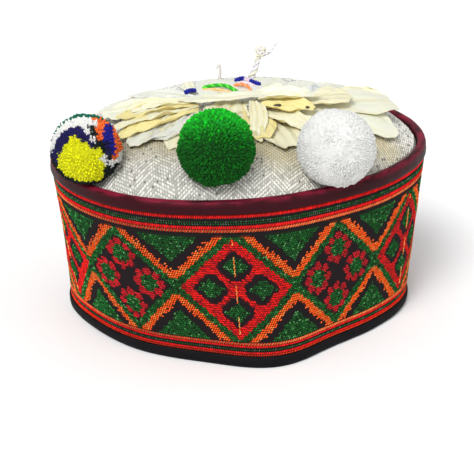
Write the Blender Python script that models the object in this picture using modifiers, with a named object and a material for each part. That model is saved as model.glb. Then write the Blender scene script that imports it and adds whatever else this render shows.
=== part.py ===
"""A Kullu cap: a tweed crown inside a stiff woven band, edged above and below,
with three yarn pompoms, sprays of dry papery petals and a few twisted yarns on top.

Metres, +Z up, the front towards -Y. An azimuth is measured from the front, positive
towards +X. The cap stands on the flat underside of its lower binding, at z = 0.
"""

import math
from collections import namedtuple

import bmesh
import bpy
from mathutils import Vector

# Driving sizes of the cap
CAP_HEIGHT = 0.0965
SIDES = 48
BAND_THICKNESS = 0.0024
BAND_END_GAP = 0.0016
TWEED_THICKNESS = 0.0020
BINDING_THICKNESS = 0.0009
SEAT_GAP = 0.0003

# The plan outline of the band's outer face, at the top edge and at the foot
PlanRow = namedtuple("PlanRow", "azimuth_deg top_radius foot_radius")
PLAN = [
    PlanRow(0, 0.1042, 0.0867),
    PlanRow(30, 0.0974, 0.0830),
    PlanRow(60, 0.0996, 0.0866),
    PlanRow(90, 0.1057, 0.0957),
    PlanRow(120, 0.1081, 0.0977),
    PlanRow(150, 0.1075, 0.0957),
    PlanRow(180, 0.1042, 0.0937),
    PlanRow(210, 0.0977, 0.0927),
    PlanRow(240, 0.0942, 0.0927),
    PlanRow(270, 0.0997, 0.0933),
    PlanRow(300, 0.1092, 0.0876),
    PlanRow(330, 0.1118, 0.0885),
]
PLAN_STEP_DEG = 30

# The corner at the foot where the cap was folded flat
CREASE_AZIMUTH_DEG = 13.2
CREASE_DEPTH = 0.0123
CREASE_SPREAD_DEG = 18.0

# The pinch that the upper binding gives to the top of the band
PINCH_DEPTH = 0.0014
PINCH_HEIGHT = 0.0100

# Sections, as offsets from the band's outer face and heights
SectionRow = namedtuple("SectionRow", "offset height")
BAND_SECTION = [
    SectionRow(0.0, CAP_HEIGHT - BAND_END_GAP),
    SectionRow(0.0, CAP_HEIGHT - 0.0100),
    SectionRow(0.0, CAP_HEIGHT - 0.0200),
    SectionRow(0.0, 0.0540),
    SectionRow(0.0, 0.0320),
    SectionRow(0.0, 0.0140),
    SectionRow(0.0, BAND_END_GAP),
]
TOP_BINDING_SECTION = [
    SectionRow(-0.0036, CAP_HEIGHT - 0.0060),
    SectionRow(-0.0036, CAP_HEIGHT - 0.0012),
    SectionRow(-0.0027, CAP_HEIGHT),
    SectionRow(0.0002, CAP_HEIGHT),
    SectionRow(0.0013, CAP_HEIGHT - 0.0012),
    SectionRow(0.0013, CAP_HEIGHT - 0.0070),
]
FOOT_BINDING_SECTION = [
    SectionRow(0.0013, 0.0066),
    SectionRow(0.0013, 0.0010),
    SectionRow(0.0004, 0.0),
    SectionRow(-0.0055, 0.0),
    SectionRow(-0.0064, 0.0010),
    SectionRow(-0.0064, 0.0066),
]

# The tweed: a wall inside the band, then the shoulder and top, as a share of the edge radius
EDGE_OFFSET = -0.0041
CROWN_WALL = [
    SectionRow(EDGE_OFFSET, CAP_HEIGHT - 0.0030),
    SectionRow(EDGE_OFFSET, CAP_HEIGHT - 0.0100),
    SectionRow(-0.0031, CAP_HEIGHT - 0.0200),
    SectionRow(-0.0031, 0.0540),
    SectionRow(-0.0031, 0.0320),
    SectionRow(-0.0031, 0.0140),
    SectionRow(-0.0031, BAND_END_GAP),
]
DomeRow = namedtuple("DomeRow", "share rise")
CROWN_DOME = [
    DomeRow(0.0, 0.0195),
    DomeRow(0.30, 0.0193),
    DomeRow(0.55, 0.0180),
    DomeRow(0.75, 0.0134),
    DomeRow(0.88, 0.0070),
    DomeRow(0.96, 0.0010),
    DomeRow(1.0, -0.0030),
]
# Soft swellings and dents of the crown
SwellRow = namedtuple("SwellRow", "azimuth_deg share spread rise")
SWELLS = [
    SwellRow(262, 0.86, 0.024, 0.0050),
    SwellRow(150, 0.70, 0.030, 0.0010),
    SwellRow(330, 0.62, 0.018, -0.0014),
    SwellRow(20, 0.70, 0.016, -0.0012),
    SwellRow(75, 0.80, 0.020, 0.0010),
]

# Pompoms, placed by their centres
PompomRow = namedtuple("PompomRow", "node x y z radius colour")
POMPOMS = [
    PompomRow("pompom_left", -0.0782, -0.0717, 0.1138, 0.0194, (0.80, 0.86, 0.05)),
    PompomRow("pompom_middle", -0.0100, -0.0908, 0.1211, 0.0208, (0.01, 0.33, 0.05)),
    PompomRow("pompom_right", 0.0522, -0.0770, 0.1161, 0.0213, (0.88, 0.88, 0.86)),
]
TUFT_LEVELS = 3
TUFT_ROOT_SHARE = 0.88
POMPOM_SEAT = 0.0008

# Petal sprays: each is a pad on the crown with petals fused to it. A petal runs from its root
# to its tip; the rise is the tip's height over the tweed and the cup lifts both its edges.
PETAL_THICKNESS = 0.0009
PETAL_ROOT_RISE = 0.0014
PAD_THICKNESS = 0.0016
PAD_SEAT = 0.0005
PETAL_SEAT = 0.0006
SHOULDER_CLEARANCE = 0.0040
PetalRow = namedtuple("PetalRow", "root_x root_y tip_x tip_y width rise cup")
SPRAYS = {
    "petals_left": (
        (-0.0290, -0.0090),
        0.0100,
        [
            PetalRow(-0.0200, -0.0080, -0.0640, -0.0410, 0.020, 0.0085, 0.0034),
            PetalRow(-0.0230, -0.0150, -0.0540, -0.0500, 0.018, 0.0030, -0.0030),
            PetalRow(-0.0250, -0.0050, -0.0700, -0.0200, 0.024, 0.0055, 0.0025),
            PetalRow(-0.0260, 0.0000, -0.0640, 0.0080, 0.024, 0.0030, 0.0020),
            PetalRow(-0.0270, -0.0160, -0.0360, -0.0570, 0.020, 0.0025, 0.0016),
        ],
    ),
    "petals_middle": (
        (0.0120, -0.0130),
        0.0100,
        [
            PetalRow(0.0150, -0.0050, -0.0200, 0.0020, 0.012, 0.0060, 0.0024),
            PetalRow(0.0080, -0.0060, 0.0260, 0.0180, 0.016, 0.0060, -0.0020),
            PetalRow(0.0070, -0.0160, 0.0090, -0.0540, 0.016, 0.0060, 0.0030),
            PetalRow(0.0120, -0.0160, 0.0260, -0.0580, 0.018, 0.0040, -0.0030),
            PetalRow(0.0160, -0.0140, 0.0350, -0.0420, 0.015, 0.0075, 0.0024),
            PetalRow(0.0060, -0.0140, -0.0100, -0.0420, 0.017, 0.0030, 0.0016),
        ],
    ),
    "petals_right": (
        (0.0480, -0.0040),
        0.0090,
        [
            PetalRow(0.0420, -0.0040, 0.0900, 0.0160, 0.034, 0.0115, 0.0022),
            PetalRow(0.0460, -0.0080, 0.0820, -0.0230, 0.028, 0.0055, 0.0020),
            PetalRow(0.0440, 0.0000, 0.0700, 0.0400, 0.026, 0.0070, -0.0024),
            PetalRow(0.0480, 0.0000, 0.0380, 0.0340, 0.022, 0.0050, 0.0022),
            PetalRow(0.0480, -0.0080, 0.0540, -0.0380, 0.024, 0.0035, 0.0018),
        ],
    ),
}
PETAL_STEPS = 5
PETAL_CROSS_STEPS = 2

# Yarns laid across the top between the sprays, from one seat to the other
YarnRow = namedtuple("YarnRow", "node start_x start_y end_x end_y arch radius colour")
YARNS = [
    YarnRow("green_yarn", -0.0188, 0.0300, 0.0010, 0.0205, 0.0022, 0.0011, (0.03, 0.62, 0.03)),
    YarnRow("orange_yarn", -0.0010, 0.0340, 0.0085, 0.0240, 0.0018, 0.0009, (0.95, 0.30, 0.10)),
    YarnRow("blue_yarn", -0.0005, 0.0450, 0.0140, 0.0350, 0.0020, 0.0012, (0.02, 0.04, 0.42)),
    YarnRow("blue_yarn_end", -0.0285, 0.0150, -0.0225, 0.0200, 0.0009, 0.0012, (0.02, 0.04, 0.42)),
]
YARN_POINTS = 7

# The knotted white thread that stands up behind the sprays, and the dry stalk beside it
THREAD_FOOT = (0.0085, 0.0560)
THREAD_FOOT_RADIUS = 0.0022
THREAD_NECK_RADIUS = 0.0015
THREAD_LEAN = (0.0060, 0.0)
THREAD_HEIGHT = 0.0140
KNOT_RADIUS = 0.0033
TAIL_REACH = (0.0088, 0.0, 0.0052)
TAIL_RADIUS = 0.0008
STALK_FOOT = (-0.0095, 0.0520)
STALK_HEIGHT = 0.0090
STALK_HOOK = (-0.0016, 0.0, -0.0020)
STALK_RADIUS = 0.0007

# Colours and finishes
MATERIALS = {
    "tweed": ((0.72, 0.70, 0.63), 0.92),
    "woven": ((0.05, 0.13, 0.04), 0.85),
    "maroon_tape": ((0.20, 0.02, 0.04), 0.50),
    "black_tape": ((0.02, 0.02, 0.025), 0.60),
    "petal": ((0.88, 0.80, 0.55), 0.55),
    "thread": ((0.86, 0.85, 0.82), 0.80),
}


def plan_radius(azimuth, column):
    """The plan outline's radius at an azimuth in radians, on a smooth closed curve through the rows."""
    place = (math.degrees(azimuth) % 360) / PLAN_STEP_DEG
    row = int(place)
    t = place - row
    before, here, there, beyond = (
        getattr(PLAN[(row + step) % len(PLAN)], column) for step in (-1, 0, 1, 2)
    )
    return 0.5 * (
        2 * here
        + (there - before) * t
        + (2 * before - 5 * here + 4 * there - beyond) * t**2
        + (3 * here - before - 3 * there + beyond) * t**3
    )


def foot_radius(azimuth):
    """The foot outline with the folded corner on it."""
    away = (math.degrees(azimuth) - CREASE_AZIMUTH_DEG + 180) % 360 - 180
    corner = CREASE_DEPTH * math.exp(-((away / CREASE_SPREAD_DEG) ** 2))
    return plan_radius(azimuth, "foot_radius") + corner


def wall_radius(azimuth, height):
    """The radius of the band's outer face."""
    share = min(max(height / CAP_HEIGHT, 0.0), 1.0)
    straight = foot_radius(azimuth) * (1 - share) + plan_radius(azimuth, "top_radius") * share
    pinched = min(max((height - CAP_HEIGHT + PINCH_HEIGHT) / PINCH_HEIGHT, 0.0), 1.0)
    return straight - PINCH_DEPTH * pinched


def edge_radius(azimuth):
    """The radius at which the crown's dome meets its wall."""
    return wall_radius(azimuth, CAP_HEIGHT) + EDGE_OFFSET


def dome_rise(share):
    """The crown's height over the band's top edge, between the rows of its section."""
    for inner, outer in zip(CROWN_DOME, CROWN_DOME[1:]):
        if share <= outer.share:
            t = (share - inner.share) / (outer.share - inner.share)
            return inner.rise * (1 - t) + outer.rise * t
    return CROWN_DOME[-1].rise


def swell(azimuth, share):
    """The soft swellings and dents at a place on the crown."""
    edge = edge_radius(azimuth)
    here = Vector((share * edge * math.sin(azimuth), -share * edge * math.cos(azimuth)))
    total = 0.0
    for row in SWELLS:
        angle = math.radians(row.azimuth_deg)
        reach = row.share * edge_radius(angle)
        centre = Vector((reach * math.sin(angle), -reach * math.cos(angle)))
        total += row.rise * math.exp(-((here - centre).length / row.spread) ** 2)
    return total * (1 - share**6)


def crown_height(x, y):
    """The height of the tweed's outer surface over a point inside the band."""
    azimuth = math.atan2(x, -y)
    share = min(math.hypot(x, y) / edge_radius(azimuth), 1.0)
    return CAP_HEIGHT + dome_rise(share) + swell(azimuth, share)


def support_height(x, y):
    """The height of what carries a pompom: the tweed, or the upper binding near and past its edge."""
    return max(crown_height(x, y), CAP_HEIGHT)


def material(name, colour, roughness):
    """A plain finish with the colour and roughness of the real piece."""
    made = bpy.data.materials.new(name)
    made.use_nodes = True
    shader = made.node_tree.nodes["Principled BSDF"]
    shader.inputs["Base Color"].default_value = (*colour, 1.0)
    shader.inputs["Roughness"].default_value = roughness
    shader.inputs["Metallic"].default_value = 0.0
    return made


def collection(name):
    """A new collection in the scene."""
    made = bpy.data.collections.new(name)
    bpy.context.scene.collection.children.link(made)
    return made


def add(mesh, name, group, finish, smooth_below_deg=50):
    """An object for a mesh, in a collection, with its finish and smooth faces between sharp edges."""
    mesh.name = name
    mesh.materials.clear()
    mesh.materials.append(finish)
    mesh.shade_smooth()
    mesh.set_sharp_from_angle(angle=math.radians(smooth_below_deg))
    made = bpy.data.objects.new(name, mesh)
    group.objects.link(made)
    return made


def solidify(piece, thickness, offset=-1):
    """Gives an open surface its wall."""
    wall = piece.modifiers.new("wall", "SOLIDIFY")
    wall.thickness = thickness
    wall.offset = offset
    wall.use_even_offset = True
    return wall


def turned(points):
    """A surface turned about Z from (radius, height) points that run down its outer side."""
    bm = bmesh.new()
    corners = [bm.verts.new((radius, 0.0, height)) for radius, height in points]
    for a, b in zip(corners, corners[1:]):
        bm.edges.new((a, b))
    line = bpy.data.meshes.new("section")
    bm.to_mesh(line)
    bm.free()
    guide = bpy.data.objects.new("section", line)
    bpy.context.scene.collection.objects.link(guide)
    screw = guide.modifiers.new("turn", "SCREW")
    screw.steps = SIDES
    screw.render_steps = SIDES
    screw.use_merge_vertices = True
    screw.merge_threshold = 0.00005
    bpy.context.view_layer.update()
    evaluated = guide.evaluated_get(bpy.context.evaluated_depsgraph_get())
    mesh = bpy.data.meshes.new_from_object(evaluated)
    bpy.data.objects.remove(guide)
    bm = bmesh.new()
    bm.from_mesh(mesh)
    bmesh.ops.triangulate(bm, faces=bm.faces[:], quad_method="FIXED")
    bm.to_mesh(mesh)
    bm.free()
    return mesh


REFERENCE_RADIUS = 0.2


def shape_ring(mesh):
    """Moves a turned ring's points from the reference circle to the band's outline."""
    for vertex in mesh.vertices:
        x, y, height = vertex.co
        azimuth = math.atan2(x, -y)
        radius = wall_radius(azimuth, height) + math.hypot(x, y) - REFERENCE_RADIUS
        vertex.co = (radius * math.sin(azimuth), -radius * math.cos(azimuth), height)
    return mesh


def ring(name, section, thickness, group, finish):
    """A ring that follows the band's outline, from its outer section."""
    mesh = turned([(REFERENCE_RADIUS + row.offset, row.height) for row in section])
    made = add(shape_ring(mesh), name, group, finish)
    solidify(made, thickness)
    return made


def shape_crown(mesh):
    """Moves the turned crown's points to the cap's outline, with the dome's swellings."""
    for vertex in mesh.vertices:
        x, y, height = vertex.co
        radius = math.hypot(x, y)
        azimuth = math.atan2(x, -y)
        if height > CAP_HEIGHT - 0.0031:
            share = min(radius / (REFERENCE_RADIUS + EDGE_OFFSET), 1.0)
            radius = share * edge_radius(azimuth)
            height += swell(azimuth, share)
        else:
            radius += wall_radius(azimuth, height) - REFERENCE_RADIUS
        vertex.co = (radius * math.sin(azimuth), -radius * math.cos(azimuth), height)
    return mesh


def crown(group, finish):
    """The tweed crown: top, shoulder and the wall that runs down inside the band."""
    edge = REFERENCE_RADIUS + EDGE_OFFSET
    dome = [(row.share * edge, CAP_HEIGHT + row.rise) for row in CROWN_DOME[:-1]]
    wall = [(REFERENCE_RADIUS + row.offset, row.height) for row in CROWN_WALL]
    made = add(shape_crown(turned(dome + wall)), "crown", group, finish)
    solidify(made, TWEED_THICKNESS)
    return made


def pompom(row, group, finish):
    """A ball of yarn tufts, flattened where it rests on the cap."""
    centre = Vector((row.x, row.y, row.z))
    bm = bmesh.new()
    bmesh.ops.create_icosphere(bm, subdivisions=TUFT_LEVELS, radius=row.radius)
    roots = bmesh.ops.poke(bm, faces=bm.faces[:])["verts"]
    for root in roots:
        root.co = root.co.normalized() * row.radius * TUFT_ROOT_SHARE
    for vertex in bm.verts:
        place = centre + vertex.co
        floor = support_height(place.x, place.y) + POMPOM_SEAT
        vertex.co.z = max(vertex.co.z, floor - centre.z)
    mesh = bpy.data.meshes.new(row.node)
    bm.to_mesh(mesh)
    bm.free()
    made = add(mesh, row.node, group, finish, smooth_below_deg=25)
    made.location = centre
    return made


def petal(row, group, finish):
    """One curved, cupped petal that follows the crown and lifts towards its tip."""
    root = Vector((row.root_x, row.root_y))
    run_out = Vector((row.tip_x, row.tip_y)) - root
    across = Vector((-run_out.y, run_out.x)).normalized()
    bm = bmesh.new()
    bmesh.ops.create_grid(bm, x_segments=PETAL_STEPS, y_segments=PETAL_CROSS_STEPS, size=1.0)
    for vertex in bm.verts:
        run = (vertex.co.x + 1) / 2
        side = vertex.co.y
        half_width = row.width / 2 * math.sin(math.pi * (0.14 + 0.72 * run)) ** 0.7
        place = root + run_out * run + across * (side * half_width)
        rise = PETAL_ROOT_RISE + (row.rise - PETAL_ROOT_RISE) * run**1.6
        edge = row.cup * math.sin(math.pi * run) * side**2
        azimuth = math.atan2(place.x, -place.y)
        share = min(place.length / edge_radius(azimuth), 1.0)
        lowest = PETAL_SEAT + PETAL_THICKNESS + SHOULDER_CLEARANCE * share**4
        vertex.co = (place.x, place.y, crown_height(place.x, place.y) + max(rise + edge, lowest))
    mesh = bpy.data.meshes.new("petal")
    bm.to_mesh(mesh)
    bm.free()
    made = add(mesh, "petal", group, finish)
    solidify(made, PETAL_THICKNESS, offset=0)
    made.hide_render = True
    made.display_type = "WIRE"
    return made


def spray(name, place, radius, rows, group, cutters, finish):
    """A pad seated on the crown with its petals fused to it."""
    petals = bpy.data.collections.new(name + "_petals")
    cutters.children.link(petals)
    for row in rows:
        petal(row, petals, finish)
    bm = bmesh.new()
    bmesh.ops.create_cone(
        bm,
        cap_ends=True,
        cap_tris=True,
        segments=10,
        radius1=radius,
        radius2=radius,
        depth=PAD_THICKNESS,
    )
    top = [v for v in bm.verts if v.co.z > 0]
    for vertex in bm.verts:
        x = place[0] + vertex.co.x
        y = place[1] + vertex.co.y
        rise = PAD_SEAT + (PAD_THICKNESS if vertex in top else 0.0)
        vertex.co = (x, y, crown_height(x, y) + rise)
    mesh = bpy.data.meshes.new(name)
    bm.to_mesh(mesh)
    bm.free()
    made = add(mesh, name, group, finish)
    fuse = made.modifiers.new("petals", "BOOLEAN")
    fuse.operation = "UNION"
    fuse.operand_type = "COLLECTION"
    fuse.collection = petals
    return made


def tube(name, points, radii, group, finish, sides=2):
    """A round yarn through points, with its radius at each, as a mesh."""
    line = bpy.data.curves.new(name, "CURVE")
    line.dimensions = "3D"
    line.bevel_depth = 1.0
    line.bevel_resolution = sides
    line.use_fill_caps = True
    spline = line.splines.new("POLY")
    spline.points.add(len(points) - 1)
    for knot, point, radius in zip(spline.points, points, radii):
        knot.co = (*point, 1.0)
        knot.radius = radius
    guide = bpy.data.objects.new(name, line)
    bpy.context.scene.collection.objects.link(guide)
    bpy.context.view_layer.update()
    evaluated = guide.evaluated_get(bpy.context.evaluated_depsgraph_get())
    mesh = bpy.data.meshes.new_from_object(evaluated)
    bpy.data.objects.remove(guide)
    bm = bmesh.new()
    bm.from_mesh(mesh)
    bmesh.ops.remove_doubles(bm, verts=bm.verts, dist=0.00002)
    bmesh.ops.recalc_face_normals(bm, faces=bm.faces)
    bm.to_mesh(mesh)
    bm.free()
    return add(mesh, name, group, finish)


def yarn(row, group, finish):
    """A yarn that lies over the crown in a low arch, with both ends on the tweed."""
    points = []
    for index in range(YARN_POINTS):
        t = index / (YARN_POINTS - 1)
        x = row.start_x * (1 - t) + row.end_x * t
        y = row.start_y * (1 - t) + row.end_y * t
        rise = row.radius + SEAT_GAP + row.arch * math.sin(math.pi * t)
        points.append(Vector((x, y, crown_height(x, y) + rise)))
    return tube(row.node, points, [row.radius] * YARN_POINTS, group, finish, sides=1)


def fuse(piece, other, cutters):
    """Joins another closed mesh into a piece."""
    for group in list(other.users_collection):
        group.objects.unlink(other)
    cutters.objects.link(other)
    other.hide_render = True
    other.display_type = "WIRE"
    join = piece.modifiers.new("join", "BOOLEAN")
    join.operation = "UNION"
    join.object = other


def knotted_thread(group, cutters, finish):
    """The white thread end: a neck that rises from the crown, its knot and its tail."""
    x, y = THREAD_FOOT
    foot = Vector((x, y, crown_height(x, y) + SEAT_GAP + 0.0010))
    knot = foot + Vector((*THREAD_LEAN, THREAD_HEIGHT))
    steps = 5
    points = [foot.lerp(knot, i / (steps - 1)) for i in range(steps)]
    radii = [
        THREAD_FOOT_RADIUS + (THREAD_NECK_RADIUS - THREAD_FOOT_RADIUS) * i / (steps - 1)
        for i in range(steps)
    ]
    made = tube("knotted_thread", points, radii, group, finish)
    bm = bmesh.new()
    bmesh.ops.create_icosphere(bm, subdivisions=2, radius=KNOT_RADIUS)
    bmesh.ops.translate(bm, verts=bm.verts, vec=knot + Vector((0.0, 0.0, KNOT_RADIUS / 2)))
    ball = bpy.data.meshes.new("knot")
    bm.to_mesh(ball)
    bm.free()
    fuse(made, add(ball, "knot", group, finish), cutters)
    tail_start = knot + Vector((KNOT_RADIUS / 3, 0.0, -KNOT_RADIUS / 4))
    tail_end = tail_start + Vector(TAIL_REACH) + Vector((0.0, 0.0, KNOT_RADIUS))
    bend = tail_start.lerp(tail_end, 0.45) - Vector((0.0, 0.0, TAIL_RADIUS))
    tail = tube("tail", [tail_start, bend, tail_end], [TAIL_RADIUS] * 3, group, finish, sides=1)
    fuse(made, tail, cutters)
    return made


def stalk(group, finish):
    """The dry stalk that stands beside the knotted thread, with its hooked tip."""
    x, y = STALK_FOOT
    foot = Vector((x, y, crown_height(x, y) + SEAT_GAP + 0.0003))
    tip = foot + Vector((0.0, 0.0, STALK_HEIGHT))
    points = [foot, foot.lerp(tip, 0.5), tip, tip + Vector(STALK_HOOK)]
    return tube("dry_stalk", points, [STALK_RADIUS] * 4, group, finish, sides=1)


def centre_plan(pieces, root):
    """Moves the whole cap so that the middle of its plan is over the origin."""
    bpy.context.view_layer.update()
    graph = bpy.context.evaluated_depsgraph_get()
    corners = []
    for piece in pieces:
        evaluated = piece.evaluated_get(graph)
        corners += [evaluated.matrix_world @ Vector(c) for c in evaluated.bound_box]
    for axis in (0, 1):
        places = [corner[axis] for corner in corners]
        root.location[axis] = -(min(places) + max(places)) / 2


def main():
    for old in list(bpy.data.objects):
        bpy.data.objects.remove(old)
    cap = collection("kullu_cap")
    cutters = collection("cutters")
    finishes = {name: material(name, *values) for name, values in MATERIALS.items()}

    pieces = [
        crown(cap, finishes["tweed"]),
        ring("band", BAND_SECTION, BAND_THICKNESS, cap, finishes["woven"]),
        ring("top_binding", TOP_BINDING_SECTION, BINDING_THICKNESS, cap, finishes["maroon_tape"]),
        ring("foot_binding", FOOT_BINDING_SECTION, BINDING_THICKNESS, cap, finishes["black_tape"]),
    ]
    for row in POMPOMS:
        pieces.append(pompom(row, cap, material(row.node, row.colour, 0.9)))
    for name, (place, radius, rows) in SPRAYS.items():
        pieces.append(spray(name, place, radius, rows, cap, cutters, finishes["petal"]))
    for row in YARNS:
        pieces.append(yarn(row, cap, material(row.node, row.colour, 0.8)))
    pieces.append(knotted_thread(cap, cutters, finishes["thread"]))
    pieces.append(stalk(cap, finishes["petal"]))

    root = bpy.data.objects.new("cap_root", None)
    cap.objects.link(root)
    for piece in pieces:
        piece.parent = root
    for guide in [*cutters.objects, *(o for c in cutters.children for o in c.objects)]:
        guide.parent = root
    centre_plan(pieces, root)


main()
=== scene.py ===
"""Dresses the kullu cap: woven band, tweed crown, yarn pompoms, papery petals, yarns and tapes.

Metres, +Z up, the front towards -Y. An azimuth is measured from the front, positive towards +X.
"""

from __future__ import annotations

import logging
import math
import random
from dataclasses import dataclass, field
from enum import Enum

import bmesh
import bpy
import numpy as np
from mathutils import Matrix, Vector, noise

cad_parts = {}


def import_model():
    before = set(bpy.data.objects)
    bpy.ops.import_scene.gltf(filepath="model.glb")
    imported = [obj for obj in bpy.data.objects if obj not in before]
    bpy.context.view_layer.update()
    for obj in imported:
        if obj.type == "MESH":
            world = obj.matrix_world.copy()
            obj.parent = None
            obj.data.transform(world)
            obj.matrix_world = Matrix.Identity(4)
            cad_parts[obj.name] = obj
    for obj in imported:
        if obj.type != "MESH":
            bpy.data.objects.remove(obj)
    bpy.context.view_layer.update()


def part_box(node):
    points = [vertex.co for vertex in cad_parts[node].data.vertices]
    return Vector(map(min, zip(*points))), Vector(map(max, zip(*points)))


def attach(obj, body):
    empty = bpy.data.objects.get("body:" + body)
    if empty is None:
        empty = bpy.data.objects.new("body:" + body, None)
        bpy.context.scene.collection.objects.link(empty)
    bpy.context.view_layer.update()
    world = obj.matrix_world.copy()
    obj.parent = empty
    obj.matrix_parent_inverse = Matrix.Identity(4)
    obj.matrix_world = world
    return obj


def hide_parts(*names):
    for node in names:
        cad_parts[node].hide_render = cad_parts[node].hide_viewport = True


LOG = logging.getLogger("kullu_cap")
BODY = "root"
Triple = tuple[float, float, float]
Colour = Triple
Piece = bpy.types.Object
Material = bpy.types.Material
Mesh = bpy.types.Mesh
Socket = bpy.types.NodeSocket
Value = float | Socket
Paint = tuple[float, ...] | Socket


class Yarn(Enum):
    """The yarns that the band and the pompoms are made of, in linear colour."""

    GROUND = (0.014, 0.009, 0.011)
    GREEN = (0.008, 0.120, 0.018)
    RED = (0.820, 0.011, 0.009)
    ROSE = (0.600, 0.014, 0.020)
    ORANGE = (1.000, 0.118, 0.010)
    YELLOW = (0.950, 0.400, 0.110)
    LEMON = (0.810, 0.810, 0.006)
    NAVY = (0.014, 0.012, 0.085)
    BLUE = (0.014, 0.016, 0.300)
    WHITE = (0.800, 0.800, 0.770)
    PINE = (0.008, 0.150, 0.085)
    BLACK = (0.007, 0.014, 0.013)
    CORAL = (0.900, 0.160, 0.030)
    LEAF = (0.006, 0.300, 0.014)


class Shade(Enum):
    """The tones that single stitches, tweed floats and the tweed's ground take beside their yarn's own; the
    two light greens and the lit orange are painted highlights, the tweed's ground tone is painted shade
    between the floats, its stain tone is partly stain and partly painted shade, and the rest are the threads'
    own tones.
    """

    LIT_GREEN = (0.016, 0.235, 0.034)
    WORN_GREEN = (0.110, 0.400, 0.120)
    LIT_ORANGE = (1.0, 0.25, 0.05)
    DEEP_RED = (0.42, 0.008, 0.014)
    SEAM = (0.03, 0.012, 0.02)
    TWEED_GROUND = (0.52, 0.51, 0.46)
    TWEED_GREY = (0.55, 0.55, 0.51)
    TWEED_WHITE = (0.83, 0.82, 0.77)
    TWEED_STAIN = (0.56, 0.47, 0.24)
    TWEED_FLECK = (0.12, 0.10, 0.06)


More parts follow.
